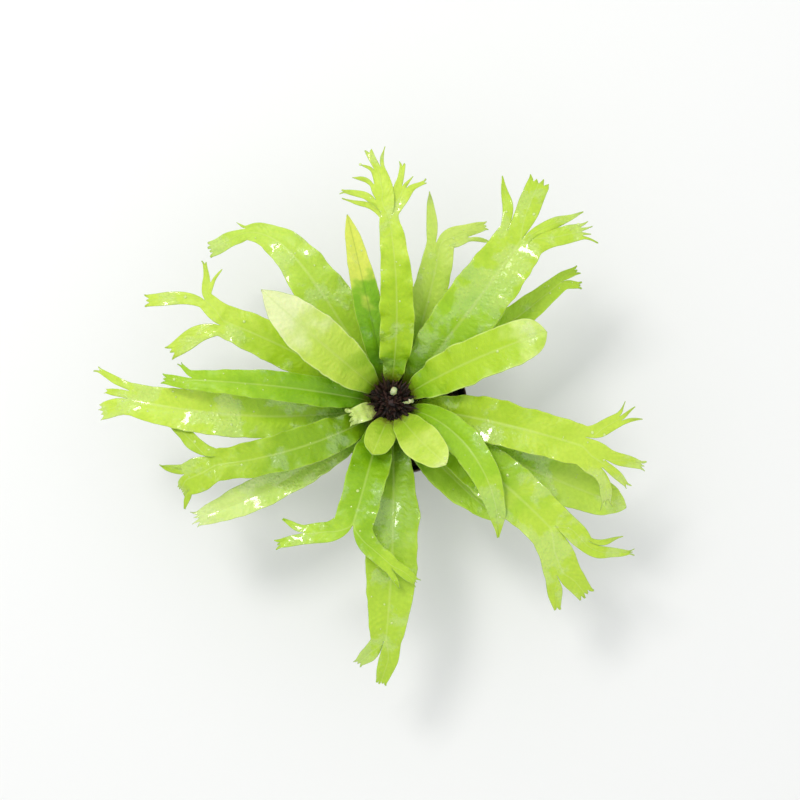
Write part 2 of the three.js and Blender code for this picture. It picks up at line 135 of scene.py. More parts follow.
class Nodes:
    """Adds nodes to a tree and joins them, one short call each."""

    def __init__(self, tree):
        self.tree = tree

    def join(self, value, socket):
        """Links another node's output to a socket, or sets the socket to a plain value."""
        if isinstance(value, bpy.types.NodeSocket):
            self.tree.links.new(value, socket)
        else:
            socket.default_value = value

    def add(self, kind, inputs=None, **settings):
        node = self.tree.nodes.new(kind)
        for key, value in settings.items():
            setattr(node, key, value)
        for key, value in (inputs or {}).items():
            self.join(value, node.inputs[key])
        return node

    def math(self, operation, first, second=0.0):
        return self.add("ShaderNodeMath", {0: first, 1: second}, operation=operation).outputs[0]

    def plus(self, first, second):
        return self.math("ADD", first, second)

    def minus(self, first, second):
        return self.math("SUBTRACT", first, second)

    def times(self, first, second):
        return self.math("MULTIPLY", first, second)

    def mix(self, factor, first, second, blend="MIX"):
        """Sockets 6 and 7 of a Mix node are its two colours, and output 2 is the mixed colour."""
        inputs = {0: factor, 6: first, 7: second}
        return self.add("ShaderNodeMix", inputs, data_type="RGBA", blend_type=blend).outputs[2]

    def ramp(self, value, low, high, start=0.0, end=1.0):
        inputs = {"Value": value, "From Min": low, "From Max": high, "To Min": start, "To Max": end}
        return self.add("ShaderNodeMapRange", inputs, interpolation_type="SMOOTHSTEP").outputs[0]

    def noise(self, vector, scale, detail=3.0, roughness=0.5):
        inputs = {"Vector": vector, "Scale": scale, "Detail": detail, "Roughness": roughness}
        return self.add("ShaderNodeTexNoise", inputs).outputs[0]

    def object_place(self):
        return self.add("ShaderNodeTexCoord").outputs["Object"]

    def uv(self, name):
        return self.add("ShaderNodeUVMap", uv_map=name).outputs[0]

    def axis(self, vector, number):
        return self.add("ShaderNodeSeparateXYZ", {0: vector}).outputs[number]

    def bump(self, shader, height, strength, distance):
        inputs = {"Height": height, "Strength": strength, "Distance": distance}
        self.join(self.add("ShaderNodeBump", inputs).outputs[0], shader.inputs["Normal"])


def new_material(name, **settings):
    """A material with one Principled shader, whose constants are set on its own sockets."""
    material = bpy.data.materials.new(name)
    material.use_nodes = True
    shader = material.node_tree.nodes["Principled BSDF"]
    for key, value in settings.items():
        shader.inputs[key.replace("_", " ")].default_value = value
    return material, Nodes(material.node_tree), shader


def new_group(name, takes, gives):
    """A shader node group with named inputs, each with its usual value, and named outputs."""
    tree = bpy.data.node_groups.new(name, "ShaderNodeTree")
    for socket, value in takes.items():
        made = tree.interface.new_socket(socket, in_out="INPUT", socket_type="NodeSocketFloat")
        made.default_value = value
    for socket in gives:
        tree.interface.new_socket(socket, in_out="OUTPUT", socket_type="NodeSocketFloat")
    nodes = Nodes(tree)
    return tree, nodes, nodes.add("NodeGroupInput").outputs, nodes.add("NodeGroupOutput").inputs


# %% Floor, sky and lamps
FLOOR_SIZE = 8.0
SKY_COLOUR = (0.97, 0.985, 1.0, 1)
SKY_STRENGTH = 0.91
WINDOW_PLACE = (-0.62, 0.72, 1.75)
WINDOW_AIM = (0, 0, 0.1)
WINDOW_SIZE = 0.46
WINDOW_POWER = 11.5
WINDOW_TINT = (1.0, 0.985, 0.965)
floor_material, _, _ = new_material("pale_floor", Base_Color=colour(240, 240, 238), Roughness=0.75)
bm = bmesh.new()
bmesh.ops.create_grid(bm, x_segments=1, y_segments=1, size=FLOOR_SIZE / 2)
finish_mesh("floor", bm, floor_material, smooth=False)

world = bpy.context.scene.world or bpy.data.worlds.new("sky")
bpy.context.scene.world = world
world.use_nodes = True
background = world.node_tree.nodes["Background"]
background.inputs["Color"].default_value = SKY_COLOUR
background.inputs["Strength"].default_value = SKY_STRENGTH
add_lamp("window", WINDOW_PLACE, WINDOW_AIM, WINDOW_SIZE, WINDOW_POWER, WINDOW_TINT)
print("floor, sky and lamp ready")

# %% [markdown]
# ## Shader groups shared by the plant's materials
# A fern blade is never one flat green. A pale rib runs down its middle, fine side veins climb from the
# rib to the margin and pucker the skin, the tissue between them is mottled, and patches stay wet after
# watering. Painted maps could show all this, but a map for 23 fronds is a lot of painting. Each effect is
# one node group instead, built once and placed in every leaf material with its own values. The veins
# follow the blade's UV map, which runs from margin to margin in U and, in steps of 100 mm, from base to
# tip in V.


# %% Veins, mottle and film of water
def make_vein_group():
    """Rib, side veins, margin and the puckers between the veins, from the blade's own UV map."""
    takes = {"Spacing": 0.05, "Slant": 0.09}
    gives = ("Rib", "Vein", "Pucker", "Margin")
    tree, nodes, given, result = new_group("blade_veins", takes, gives)
    uv = nodes.uv("blade")
    side = nodes.times(nodes.math("ABSOLUTE", nodes.minus(nodes.axis(uv, 0), 0.5)), 2)
    wander = nodes.times(nodes.noise(uv, 7), 0.09)
    climb = nodes.times(nodes.math("POWER", side, 1.25), given["Slant"])
    along = nodes.plus(nodes.minus(nodes.axis(uv, 1), climb), wander)
    turns = nodes.times(nodes.math("DIVIDE", along, given["Spacing"]), math.tau)
    swell = nodes.plus(nodes.times(nodes.math("SINE", turns), 0.5), 0.5)
    fine = nodes.math("SINE", nodes.times(turns, 3))
    patch = nodes.ramp(nodes.noise(uv, 5, 1), 0.35, 0.65)
    swell = nodes.times(swell, nodes.ramp(side, 0.05, 0.4))
    nodes.join(nodes.ramp(side, 0.0, 0.09, 1, 0), result["Rib"])
    nodes.join(nodes.ramp(fine, 0.6, 1.0), result["Vein"])
    nodes.join(nodes.times(swell, patch), result["Pucker"])
    nodes.join(nodes.ramp(side, 0.9, 0.985), result["Margin"])
    return tree


def make_mottle_group():
    """Slow and fine patches of lighter and darker tissue, from object coordinates."""
    tree, nodes, given, result = new_group("tissue_mottle", {"Size": 55.0}, ("Slow", "Fine"))
    place = nodes.object_place()
    nodes.join(nodes.ramp(nodes.noise(place, given["Size"], 2), 0.3, 0.7), result["Slow"])
    nodes.join(nodes.ramp(nodes.noise(place, 420, 3), 0.3, 0.7), result["Fine"])
    return tree


def make_wet_group():
    """A broken film of water: where it lies, and the height of its ripples and beads."""
    tree, nodes, given, result = new_group("water_film", {"Amount": 0.3}, ("Wet", "Bead"))
    place = nodes.object_place()
    spread = nodes.noise(place, 34, 4, 0.62)
    edge = nodes.minus(0.66, nodes.times(given["Amount"], 0.32))
    wet = nodes.ramp(nodes.minus(spread, edge), 0.0, 0.08)
    ripple = nodes.noise(place, 110, 2, 0.5)
    cells = nodes.add("ShaderNodeTexVoronoi", {"Vector": place, "Scale": 420}, feature="SMOOTH_F1")
    bead = nodes.times(nodes.ramp(cells.outputs["Distance"], 0.5, 0.12), 0.3)
    height = nodes.times(nodes.plus(nodes.minus(ripple, 0.5), bead), wet)
    nodes.join(wet, result["Wet"])
    nodes.join(height, result["Bead"])
    return tree


vein_group = make_vein_group()
mottle_group = make_mottle_group()
wet_group = make_wet_group()
print("shader groups", vein_group.name, mottle_group.name, wet_group.name)

# %% [markdown]
# ## The skins of a frond
# The upper skin is smooth and a little see-through. It is darkest at its foot, where brown scales rub off
# on it, and palest at its tip and along its rib. A single green with a gloss would look like plastic, so
# one function mixes three greens along the blade and lays the groups over them, and a thin coat stands
# for the water. It also paints light into the colour: painted shade in the valleys between the puckers,
# and a whitish painted reflection of the sky where the film of water lies. The underside is duller and
# paler, so it is a second material on the same piece.

# %% Material of a frond's upper side
DRY_ROUGHNESS = 0.34
RIB_COLOUR = (206, 226, 126)
RIB_PALENESS = 0.33
MARGIN_PALENESS = 0.45
STAIN_COLOUR = colour(112, 92, 30)
STAIN_STRENGTH = 0.8
# Painted reflection: a whitish tint, and how strongly it is mixed in where the film of water lies, stand
# for the sky mirrored in the wet skin.
PAINTED_SHEEN_COLOUR = colour(226, 240, 214)
PAINTED_SHEEN_STRENGTH = 0.07


def blade_material(name, deep, leaf, pale, wet, tip_start=0.9, tip_blend=0.6, rib=RIB_COLOUR):
    """Deep green near the base, leaf green along the blade, paler towards its tip and on its ribs."""
    material, nodes, shader = new_material(
        name, Subsurface_Weight=0.2, Subsurface_Scale=0.002, Specular_IOR_Level=0.4, Coat_Roughness=0.05,
        Coat_IOR=1.6)
    shader.inputs["Subsurface Radius"].default_value = (0.7, 1.0, 0.2)
    veins = nodes.add("ShaderNodeGroup", node_tree=vein_group).outputs
    mottle = nodes.add("ShaderNodeGroup", node_tree=mottle_group).outputs
    film = nodes.add("ShaderNodeGroup", {"Amount": wet}, node_tree=wet_group).outputs
    along = nodes.axis(nodes.uv("blade"), 1)
    drift = nodes.plus(along, nodes.times(mottle["Slow"], 0.3))
    body = nodes.mix(nodes.ramp(drift, 0.1, 0.75), colour(*deep), colour(*leaf))
    body = nodes.mix(nodes.ramp(drift, tip_start, tip_start + tip_blend), body, colour(*pale))
    shade = nodes.mix(mottle["Fine"], (0.93, 0.95, 0.9, 1), (1.03, 1.02, 1.03, 1))
    body = nodes.mix(1.0, body, shade, blend="MULTIPLY")
    # Painted shade: the colour darkens towards the deep green in the valleys between the puckers.
    valley_shade = nodes.times(nodes.minus(1, veins["Pucker"]), 0.1)
    body = nodes.mix(valley_shade, body, colour(*deep))
    light = nodes.plus(nodes.times(veins["Vein"], 0.05), nodes.times(veins["Margin"], MARGIN_PALENESS))
    body = nodes.mix(light, body, colour(*pale))
    body = nodes.mix(nodes.times(veins["Rib"], RIB_PALENESS), body, colour(*rib))
    stain = nodes.times(nodes.ramp(along, 0.02, 0.17, 1, 0), nodes.ramp(mottle["Fine"], -0.4, 0.9))
    body = nodes.mix(nodes.times(stain, STAIN_STRENGTH), body, STAIN_COLOUR)
    # Painted reflection: where the film of water lies, the colour is paled towards the whitish tint of the
    # mirrored sky.
    body = nodes.mix(nodes.times(film["Wet"], PAINTED_SHEEN_STRENGTH), body, PAINTED_SHEEN_COLOUR)
    nodes.join(body, shader.inputs["Base Color"])
    dry = nodes.plus(DRY_ROUGHNESS, nodes.times(mottle["Fine"], 0.12))
    rough = nodes.times(dry, nodes.minus(1, nodes.times(film["Wet"], 0.5)))
    nodes.join(rough, shader.inputs["Roughness"])
    nodes.join(film["Wet"], shader.inputs["Coat Weight"])
    relief = nodes.plus(nodes.times(veins["Pucker"], 0.2), nodes.times(veins["Rib"], 0.12))
    relief = nodes.plus(relief, nodes.times(veins["Vein"], 0.03))
    relief = nodes.plus(relief, nodes.times(mottle["Fine"], 0.02))
    relief = nodes.plus(relief, film["Bead"])
    nodes.bump(shader, relief, 1.0, 0.001)
    return material


# %% Material of the undersides
def underside_material():
    """Duller and paler than the upper side, with the rib darker at its foot."""
    material, nodes, shader = new_material(
        "frond_underside", Subsurface_Weight=0.28, Subsurface_Scale=0.003)
    shader.inputs["Subsurface Radius"].default_value = (0.8, 1.0, 0.25)
    veins = nodes.add("ShaderNodeGroup", node_tree=vein_group).outputs
    mottle = nodes.add("ShaderNodeGroup", node_tree=mottle_group).outputs
    along = nodes.axis(nodes.uv("blade"), 1)
    body = nodes.mix(mottle["Slow"], colour(140, 172, 78), colour(164, 194, 96))
    foot = nodes.mix(veins["Rib"], colour(96, 112, 44), colour(70, 46, 26))
    body = nodes.mix(nodes.ramp(along, 0.0, 0.22, 1, 0), body, foot)
    body = nodes.mix(nodes.times(veins["Vein"], 0.3), body, colour(188, 208, 130))
    nodes.join(body, shader.inputs["Base Color"])
    rough = nodes.plus(0.55, nodes.times(mottle["Fine"], 0.15))
    nodes.join(rough, shader.inputs["Roughness"])
    relief = nodes.minus(veins["Rib"], nodes.times(veins["Pucker"], 0.4))
    nodes.bump(shader, relief, 0.6, 0.001)
    return material


frond_underside = underside_material()
print("underside", frond_underside.name)

# %% [markdown]
# ## How a frond grows
# Each frond is a strip that leaves the crown at its own place, heading and slope. As it lengthens, the
# heading turns and the slope falls, so the strip arches over. The growth figures are close to those of
# the frame, and the crests have finer lobes and teeth. A strip could be bent with a curve modifier, but
# then it could not fork. So a frond is drawn the way it grows: a first short row of edges is extruded
# again and again, and each new row is set across the next bit of the midline. At a fork the row is shared
# out between the lobes, and each lobe goes on extruding its own share, with its own turn and droop, down
# to a pointed tip.

# %% Growth figures of the crown
CROWN_OFFSET = Vector((-7, 1.5)) * MM
CROWN_RADIUS = 17 * MM
CROWN_HEIGHT = 24 * MM
CROWN_FULLNESS = 2.2
RING_LEVEL = {"top": 0.8, "inner": 0.6, "middle": 0.36, "outer": 0.12}
SEAT_GAP = 0.7 * MM
STIPE_WIDTH = 7.5


def crown_radius(level):
    """The crown's radius at a level between 0, its foot, and 1, its top."""
    return CROWN_RADIUS * math.sqrt(max(0.0, 1 - level ** CROWN_FULLNESS))


print("crown", round(CROWN_RADIUS / MM * 2), "mm wide and", round(CROWN_HEIGHT / MM), "mm high")

# %% Lobes, teeth and fronds
SPIKE_WIDTH = 0.8
SHORT_TOOTH = 0.45
TALL_TOOTH = 0.75
SEED_STEP = 3.7
FRONDS = {}


def lobe(turn, length, width, droop=5, span=1, crest=(), belly=0.0):
    """One lobe of a crest, in degrees and millimetres; span is its share of the parent's row."""
    return {"turn": turn, "length": length, "width": width, "droop": droop, "span": span,
            "crest": crest, "belly": belly}


def cells(part):
    """How many equal shares of a row a blade or lobe takes."""
    if part.get("crest"):
        return sum(cells(child) for child in part["crest"])
    return part.get("span", 4)


def toothed(turn, length, width, droop=5, count=3, tooth=4.0, fan=48, belly=0.0):
    """A lobe whose end is cut into small pointed teeth that spread like a fan."""
    teeth = []
    for index in range(count):
        spread = fan * (0.5 - index / max(1, count - 1))
        teeth.append(lobe(spread, tooth * (SHORT_TOOTH if index % 2 else TALL_TOOTH), SPIKE_WIDTH, 0))
    return lobe(turn, length, width, droop, crest=teeth, belly=belly)


def spikes(*shapes):
    """Plain pointed lobes side by side, each from its turn and length."""
    return [lobe(turn, length, SPIKE_WIDTH) for turn, length in shapes]


def frond(name, **plan):
    """Keeps one frond's growth figures and gives it a seed of its own for its waves and puckers."""
    plan["seed"] = len(FRONDS) * SEED_STEP + 1
    FRONDS["frond_" + name] = plan


# %% Growth figures of the northern and western fronds
# Ring and seat say where a frond stands on the crown. Its heading turns by sweep, its slope goes from rise
# to fall, and it swells to its width at widest and narrows to its neck. Angles are degrees, lengths are
# millimetres, and widest is a share of the length.
frond(
    "north", ring="inner", heading=80, sweep=20, seat=88, rise=56, fall=4,
    length=134, width=25, neck=14, widest=0.4, wave=2.6, pucker=0.5, look="bright",
    crest=[
        lobe(66, 32, 1.2, 8, span=2, belly=3),
        lobe(8, 13, 19, 0, belly=1, crest=[
            toothed(64, 22, 2, 6, count=2, tooth=5, belly=2),
            lobe(0, 11, 15, 0, belly=1, crest=[
                lobe(60, 16, 0.8, belly=1.5),
                lobe(4, 10, 10, 0, crest=[
                    lobe(48, 11, 0.8, belly=1), toothed(6, 13, 6, 0, count=2, tooth=4),
                    lobe(-34, 15, 0.8, 0, belly=1)])])]),
        lobe(-34, 21, 14, belly=2, crest=[
            toothed(16, 14, 4, count=2, tooth=5), lobe(-14, 11, 1, belly=0.8),
            toothed(-42, 12, 3, count=2, tooth=4)]),
    ])
frond(
    "north_narrow", ring="middle", heading=102, sweep=2, seat=106, rise=50, fall=22,
    length=140, width=21, neck=5, widest=0.42, wave=0.6, look="narrow")
frond(
    "northwest_arching", ring="outer", heading=123, sweep=61, late=6, seat=120, rise=44, fall=-22,
    length=163, width=38, neck=11, widest=0.42, taper=1.7, wave=1.6, look="arching",
    crest=[
        toothed(14, 32, 12, 10, count=4, tooth=4.5, belly=1.5),
        lobe(-38, 10, 1, 10, belly=1),
    ])
frond(
    "northwest_young", ring="inner", heading=148, sweep=-9, seat=134, rise=66, fall=28,
    length=142, width=35, neck=4, widest=0.55, taper=2.8, wave=0.7, look="pale")
frond(
    "west_antlered", ring="outer", heading=150, sweep=9, seat=154, rise=35, fall=2,
    length=125, width=31, neck=23, widest=0.5, wave=1.2, look="bright",
    crest=[
        toothed(54, 38, 11, 15, count=3, tooth=6, belly=4),
        lobe(-20, 18, 13, 0, belly=1, crest=[
            toothed(45, 41, 9, 15, count=3, tooth=5, belly=2),
            lobe(-60, 11, 9, 0, crest=[toothed(20, 13, 3, -20, count=2, tooth=4), lobe(-25, 13, 2, 10)])]),
    ])
frond(
    "west_unrolling", ring="top", heading=202, sweep=0, rise=60, fall=26,
    length=25, width=14, neck=12, widest=0.6, wave=4.2, pucker=2.4, look="bud",
    crest=[lobe(40, 5, 2, 60), lobe(10, 3, 3, -60), lobe(-10, 4, 2, 70), lobe(-40, 4, 3, -50)])
frond(
    "west_upper", ring="inner", heading=173, sweep=4, rise=52, fall=-8,
    length=142, width=22, neck=14, widest=0.4, wave=1.4, pucker=0.3, look="deep",
    crest=[
        toothed(-10, 20, 7, 8, count=3, tooth=5, belly=1),
        toothed(-42, 11, 3, 5, count=2, tooth=4),
    ])
frond(
    "west_long", ring="outer", heading=192, sweep=-26, rise=38, fall=-10,
    length=184, width=33, neck=23, widest=0.5, wave=1.5, look="glossy",
    crest=[
        toothed(28, 18, 13, 8, count=4, tooth=5, belly=1),
        toothed(4, 17, 4, 5, count=2, tooth=4, belly=1),
        toothed(-16, 27, 4, 0, count=2, tooth=6, belly=1),
    ])
frond(
    "southwest_wavy", ring="middle", heading=214, sweep=-28, rise=50, fall=-8,
    length=130, width=28, neck=23, widest=0.45, wave=2.4, pucker=0.5, look="olive",
    crest=[
        lobe(14, 25, 23, 10, belly=4, crest=[
            lobe(52, 15, 1, 30, belly=3),
            toothed(24, 13, 9, 70, count=3, tooth=4, belly=2),
            lobe(-46, 19, 1, -30, belly=1.5),
            lobe(-26, 17, 1, 5, belly=2)]),
        toothed(-48, 41, 6, 12, count=2, tooth=5, belly=5),
    ])
frond(
    "southwest_low", ring="outer", heading=220, sweep=-20, seat=226, rise=33, fall=-8,
    length=152, width=24, neck=11, widest=0.55, taper=2.5, wave=1.0, look="low",
    crest=spikes((30, 4), (10, 7), (-10, 4), (-34, 6)))
print(len(FRONDS), "fronds so far")

# %% Growth figures of the southern and eastern fronds
frond(
    "south_forked", ring="middle", heading=258, sweep=-4, seat=244, rise=57, fall=10,
    length=93, width=29, neck=27, widest=0.5, wave=1.8, pucker=0.4, look="green",
    crest=[
        lobe(66, 36, 12, 14, belly=1, crest=[
            toothed(4, 20, 6, 10, count=3, tooth=5, belly=2), lobe(-22, 15, 1, 10, span=2, belly=1.5)]),
        lobe(-68, 30, 14, 8, belly=1, crest=[
            toothed(6, 18, 6, 5, count=3, tooth=6, belly=1), lobe(-38, 18, 1.2, 5, span=2, belly=2)]),
    ])
frond(
    "south_long", ring="middle", heading=273, sweep=-9, rise=38, fall=-20,
    length=165, width=38, neck=22, widest=0.55, wave=1.4, look="southern",
    crest=[
        toothed(-10, 35, 8, 15, count=4, tooth=4, belly=4),
        toothed(-34, 25, 7, 20, count=3, tooth=4, belly=4),
    ])
frond(
    "south_small", ring="top", heading=249, sweep=0, seat=260, rise=60, fall=36,
    length=45, width=22, neck=10, widest=0.55, taper=2.6, wave=0.5, look="young")
frond(
    "southeast_young", ring="top", heading=302, sweep=16, seat=303, rise=62, fall=34,
    length=76, width=28, neck=9, widest=0.55, taper=2.6, wave=0.9, look="young_pale")
frond(
    "east_drooping", ring="inner", heading=343, sweep=-74, seat=342, rise=58, fall=-34,
    length=138, width=24, neck=3, widest=0.45, taper=1.8, wave=1.0, look="eastern")
frond(
    "southeast_crested", ring="middle", heading=330, sweep=-16, seat=318, rise=38, fall=-8,
    length=138, width=37, neck=34, widest=0.6, wave=1.6, look="glossy_green",
    crest=[
        lobe(0, 26, 12, 5, belly=3, crest=[
            lobe(62, 26, 1, 5, belly=2.5), toothed(44, 36, 3, 8, count=3, tooth=6, belly=3)]),
        lobe(-20, 32, 27, 15, belly=1, crest=[
            toothed(16, 24, 13, 10, count=4, tooth=6, fan=46, belly=1),
            toothed(-10, 25, 6, 10, count=2, tooth=4, belly=4)]),
    ])
frond(
    "southeast_low", ring="outer", heading=310, sweep=10, seat=300, rise=28, fall=2,
    length=107, width=29, neck=3, widest=0.5, wave=0.8, look="shaded_green")
frond(
    "east_crested", ring="middle", heading=348, sweep=-5, seat=351, rise=48, fall=-4,
    length=137, width=33, neck=29, widest=0.5, wave=1.7, look="lime",
    crest=[
        lobe(46, 27, 10, 5, belly=2, crest=[
            lobe(34, 12, 0.8), lobe(10, 15, 0.8, belly=0.8), lobe(-22, 16, 0.8, belly=0.8)]),
        lobe(-14, 19, 24, 10, belly=1, crest=[
            toothed(18, 27, 6, 8, count=3, tooth=6, belly=2),
            toothed(-10, 24, 4, 10, count=2, tooth=6, belly=2),
            lobe(-42, 24, 8, 30, belly=1, crest=spikes((18, 9), (-4, 5), (-20, 9)))]),
    ])
frond(
    "east_low", ring="outer", heading=330, sweep=11, seat=340, rise=27, fall=-12,
    length=175, width=33, neck=17, widest=0.6, taper=3, wave=1.4, look="shaded_green")
frond(
    "northeast_plain", ring="inner", heading=26, sweep=-9, seat=29, rise=58, fall=10,
    length=128, width=32, neck=23, widest=0.5, taper=4, wave=1.9, pucker=0.35, look="lime_tipped")
frond(
    "northeast_low", ring="outer", heading=31, sweep=9, rise=32, fall=-6,
    length=141, width=21, neck=13, widest=0.5, wave=1.0, look="shaded",
    crest=[
        toothed(-18, 14, 6, 5, count=3, tooth=5, belly=1),
        toothed(-44, 11, 5, 5, count=3, tooth=4, belly=1),
    ])
frond(
    "northeast_crested", ring="middle", heading=46, sweep=9, rise=50, fall=2,
    length=147, width=44, neck=35, widest=0.55, wave=1.8, pucker=0.3, look="glossy_green",
    crest=[
        lobe(46, 38, 1.2, 0, span=2, belly=4),
        toothed(12, 40, 16, -25, count=4, tooth=6, fan=50, belly=2),
        lobe(-34, 48, 1.2, 5, span=2, belly=5),
        lobe(-42, 36, 12, 5, belly=1, crest=spikes((16, 7), (0, 9), (-20, 7), (-42, 12))),
    ])
frond(
    "north_forked", ring="outer", heading=66, sweep=14, rise=44, fall=10,
    length=114, width=26, neck=21, widest=0.5, wave=1.0, look="cool",
    crest=[
        lobe(15, 37, 1.2, 0, span=2, belly=4),
        lobe(-62, 18, 13, 5, belly=2, crest=[
            toothed(-4, 14, 6, 5, count=3, tooth=4, belly=1), lobe(-30, 18, 1, 5, belly=1.5)]),
    ])
print(len(FRONDS), "fronds")


# %% Direction and width of a blade
TIP_WIDTH = 0.6
BLUNT_FROM = 0.88


def growth_frame(azimuth, slope):
    """Direction of growth, the blade's left side and its upper side."""
    level = math.cos(slope)
    forward = Vector((level * math.cos(azimuth), level * math.sin(azimuth), math.sin(slope)))
    left = Vector((-math.sin(azimuth), math.cos(azimuth), 0))
    return forward, left, forward.cross(left)


def blade_width(plan, share):
    """Swells from the stalk to the full width, then narrows to the neck of the crest or to a blunt tip."""
    widest = plan["widest"]
    if share < widest:
        swell = math.sin(share / widest * math.pi / 2) ** 0.85
        return STIPE_WIDTH + (plan["width"] - STIPE_WIDTH) * swell
    past = (share - widest) / (1 - widest)
    width = plan["neck"] + (plan["width"] - plan["neck"]) * (1 - past ** plan.get("taper", 2))
    if plan.get("crest"):
        return width
    rounding = max(0.0, (share - BLUNT_FROM) / (1 - BLUNT_FROM))
    return max(TIP_WIDTH, width * math.sqrt(max(0.0, 1 - rounding ** 2)))


# %% Surface of a blade
FOLD = math.radians(13)
RIB_DEPTH = 0.3
RIB_WIDTH = 0.16
WAVE_LENGTH = 21
PUCKER_LENGTH = 7.5
PUCKER_HEIGHT = 0.18
BUCKLE = 1.1
SLOW_WOBBLE = 0.09
FINE_WOBBLE = 0.05
MARGIN_SHIFT = 5.3
RUFFLE_POWER = 2.5


def across_point(plan, centre, left, upper, width, side, along, fold, calm=1.0):
    """A point of the blade: side is 1 at the left margin, 0 on the rib and -1 at the right margin.

    The margin ruffles in slow waves, the skin puckers between the veins, the whole blade buckles a little
    and the rib lies in a groove. Calm holds all this back, as near the stalk.
    """
    seed = plan["seed"] + (MARGIN_SHIFT if side > 0 else 0)
    edge = abs(side)
    drift = noise.noise(Vector((along * 0.02, seed, 0)))
    turn = along / WAVE_LENGTH * math.tau + seed * 2.1 + 2.6 * drift
    ruffle = plan["wave"] * calm * edge ** RUFFLE_POWER * math.sin(turn) * (0.7 + 0.9 * abs(drift))
    folds = math.sin(along / PUCKER_LENGTH * math.tau - edge * 1.9 + seed + 3 * drift)
    pucker = plan.get("pucker", PUCKER_HEIGHT) * calm * folds * (4 * edge * (1 - edge * 0.8)) * 0.6
    buckle = BUCKLE * calm * noise.noise(Vector((along * 0.035, side * 1.3 + plan["seed"], 8.1)))
    wobble = 1 + SLOW_WOBBLE * calm * noise.noise(Vector((along * 0.09, seed, 4.7)))
    wobble += FINE_WOBBLE * calm * noise.noise(Vector((along * 0.26, seed, 2.2)))
    rib = RIB_DEPTH * calm * math.exp(-(side / RIB_WIDTH) ** 2)
    lift = edge * width / 2 * math.sin(fold) + ruffle + pucker + buckle - rib
    reach = side * width / 2 * math.cos(fold) * wobble
    return centre + (left * reach + upper * lift) * MM


# %% Rows of a sheet
def extrude_row(bm, near, closed=False):
    """Extrudes a row of edges and returns the new row in the same order, and its faces."""
    pairs = list(zip(near, near[1:] + near[:1])) if closed else list(zip(near, near[1:]))
    grown = bmesh.ops.extrude_edge_only(bm, edges=[bm.edges.get(pair) for pair in pairs])["geom"]
    fresh = {item for item in grown if isinstance(item, bmesh.types.BMVert)}
    far = []
    for vert in near:
        others = (edge.other_vert(vert) for edge in vert.link_edges)
        far.append(next(other for other in others if other in fresh))
    return far, [item for item in grown if isinstance(item, bmesh.types.BMFace)]


def map_row(layer, faces, near, far, near_uv, far_uv):
    """Gives the faces between two rows their place on the blade's UV map."""
    places = dict(zip(near, near_uv))
    places.update(zip(far, far_uv))
    for face in faces:
        for loop in face.loops:
            loop[layer].uv = places[loop.vert]


# %% Growing a lobe
LOBE_STEP = 1.8
LOBE_CALM = 0.6
POINTED_BELOW = 1.3
TURN_START = 0.25
TURN_SPEED = 1.5
UV_LENGTH = 100


def sides(count):
    """The side values across a row, from the left margin to the right one."""
    return [1 - 2 * index / count for index in range(count + 1)]


def grow_lobes(bm, layer, plan, lobes, row, row_uv, pose, along, fine):
    """Shares a row out between the lobes of a crest and grows each on its share."""
    start = 0
    for part in lobes:
        columns = cells(part) * fine
        share = slice(start, start + columns + 1)
        grow_lobe(bm, layer, plan, part, row[share], row_uv[share], pose, along, fine)
        start += columns


def grow_lobe(bm, layer, plan, part, row, row_uv, pose, along, fine):
    """Grows one lobe from its share of a row; it turns early, droops slowly and narrows to its tip."""
    columns = len(row) - 1
    first, last = row[0].co.copy(), row[-1].co.copy()
    centre = (first + last) / 2
    start_width = (first - last).length / MM
    steps = max(4, round(part["length"] / LOBE_STEP))
    forward, left, upper = pose
    near, near_uv = row, row_uv
    for step in range(1, steps + 1):
        share = step / steps
        turned = min(1, TURN_SPEED * (share - 0.5 / steps) + TURN_START)
        yaw = Quaternion(upper, math.radians(part["turn"]) * turned)
        lean = Quaternion(yaw @ left, math.radians(part["droop"]) * share)
        here = (lean @ (yaw @ forward), yaw @ left, lean @ upper)
        centre = centre + here[0] * part["length"] / steps * MM
        width = start_width + (part["width"] - start_width) * share ** 0.8
        belly = part["belly"] * math.sin(share * math.pi)
        width += belly
        if part["width"] < POINTED_BELOW:
            width = max(TIP_WIDTH, start_width * (1 - share ** 1.15) + belly)
        elif not part["crest"]:
            taper = max(0.0, (share - 0.6) / 0.4)
            width = max(TIP_WIDTH, width * (1 - 0.9 * taper ** 1.7))
        distance = along + part["length"] * share
        far, faces = extrude_row(bm, near)
        for vert, side in zip(far, sides(columns)):
            vert.co = across_point(plan, centre, here[1], here[2], width, side, distance, 0, LOBE_CALM)
        blend = min(1, share * 2.2)
        far_uv = []
        for index, old in enumerate(row_uv):
            local = index / columns
            far_uv.append((old[0] * (1 - blend) + local * blend, distance / UV_LENGTH))
        map_row(layer, faces, near, far, near_uv, far_uv)
        near, near_uv = far, far_uv
    if part["crest"]:
        grow_lobes(bm, layer, plan, part["crest"], near, near_uv, here, along + part["length"], fine)


# %% Growing a whole blade
ROW_STEP = 2.6
FEWEST_COLUMNS = 14
CALM_LENGTH = 25


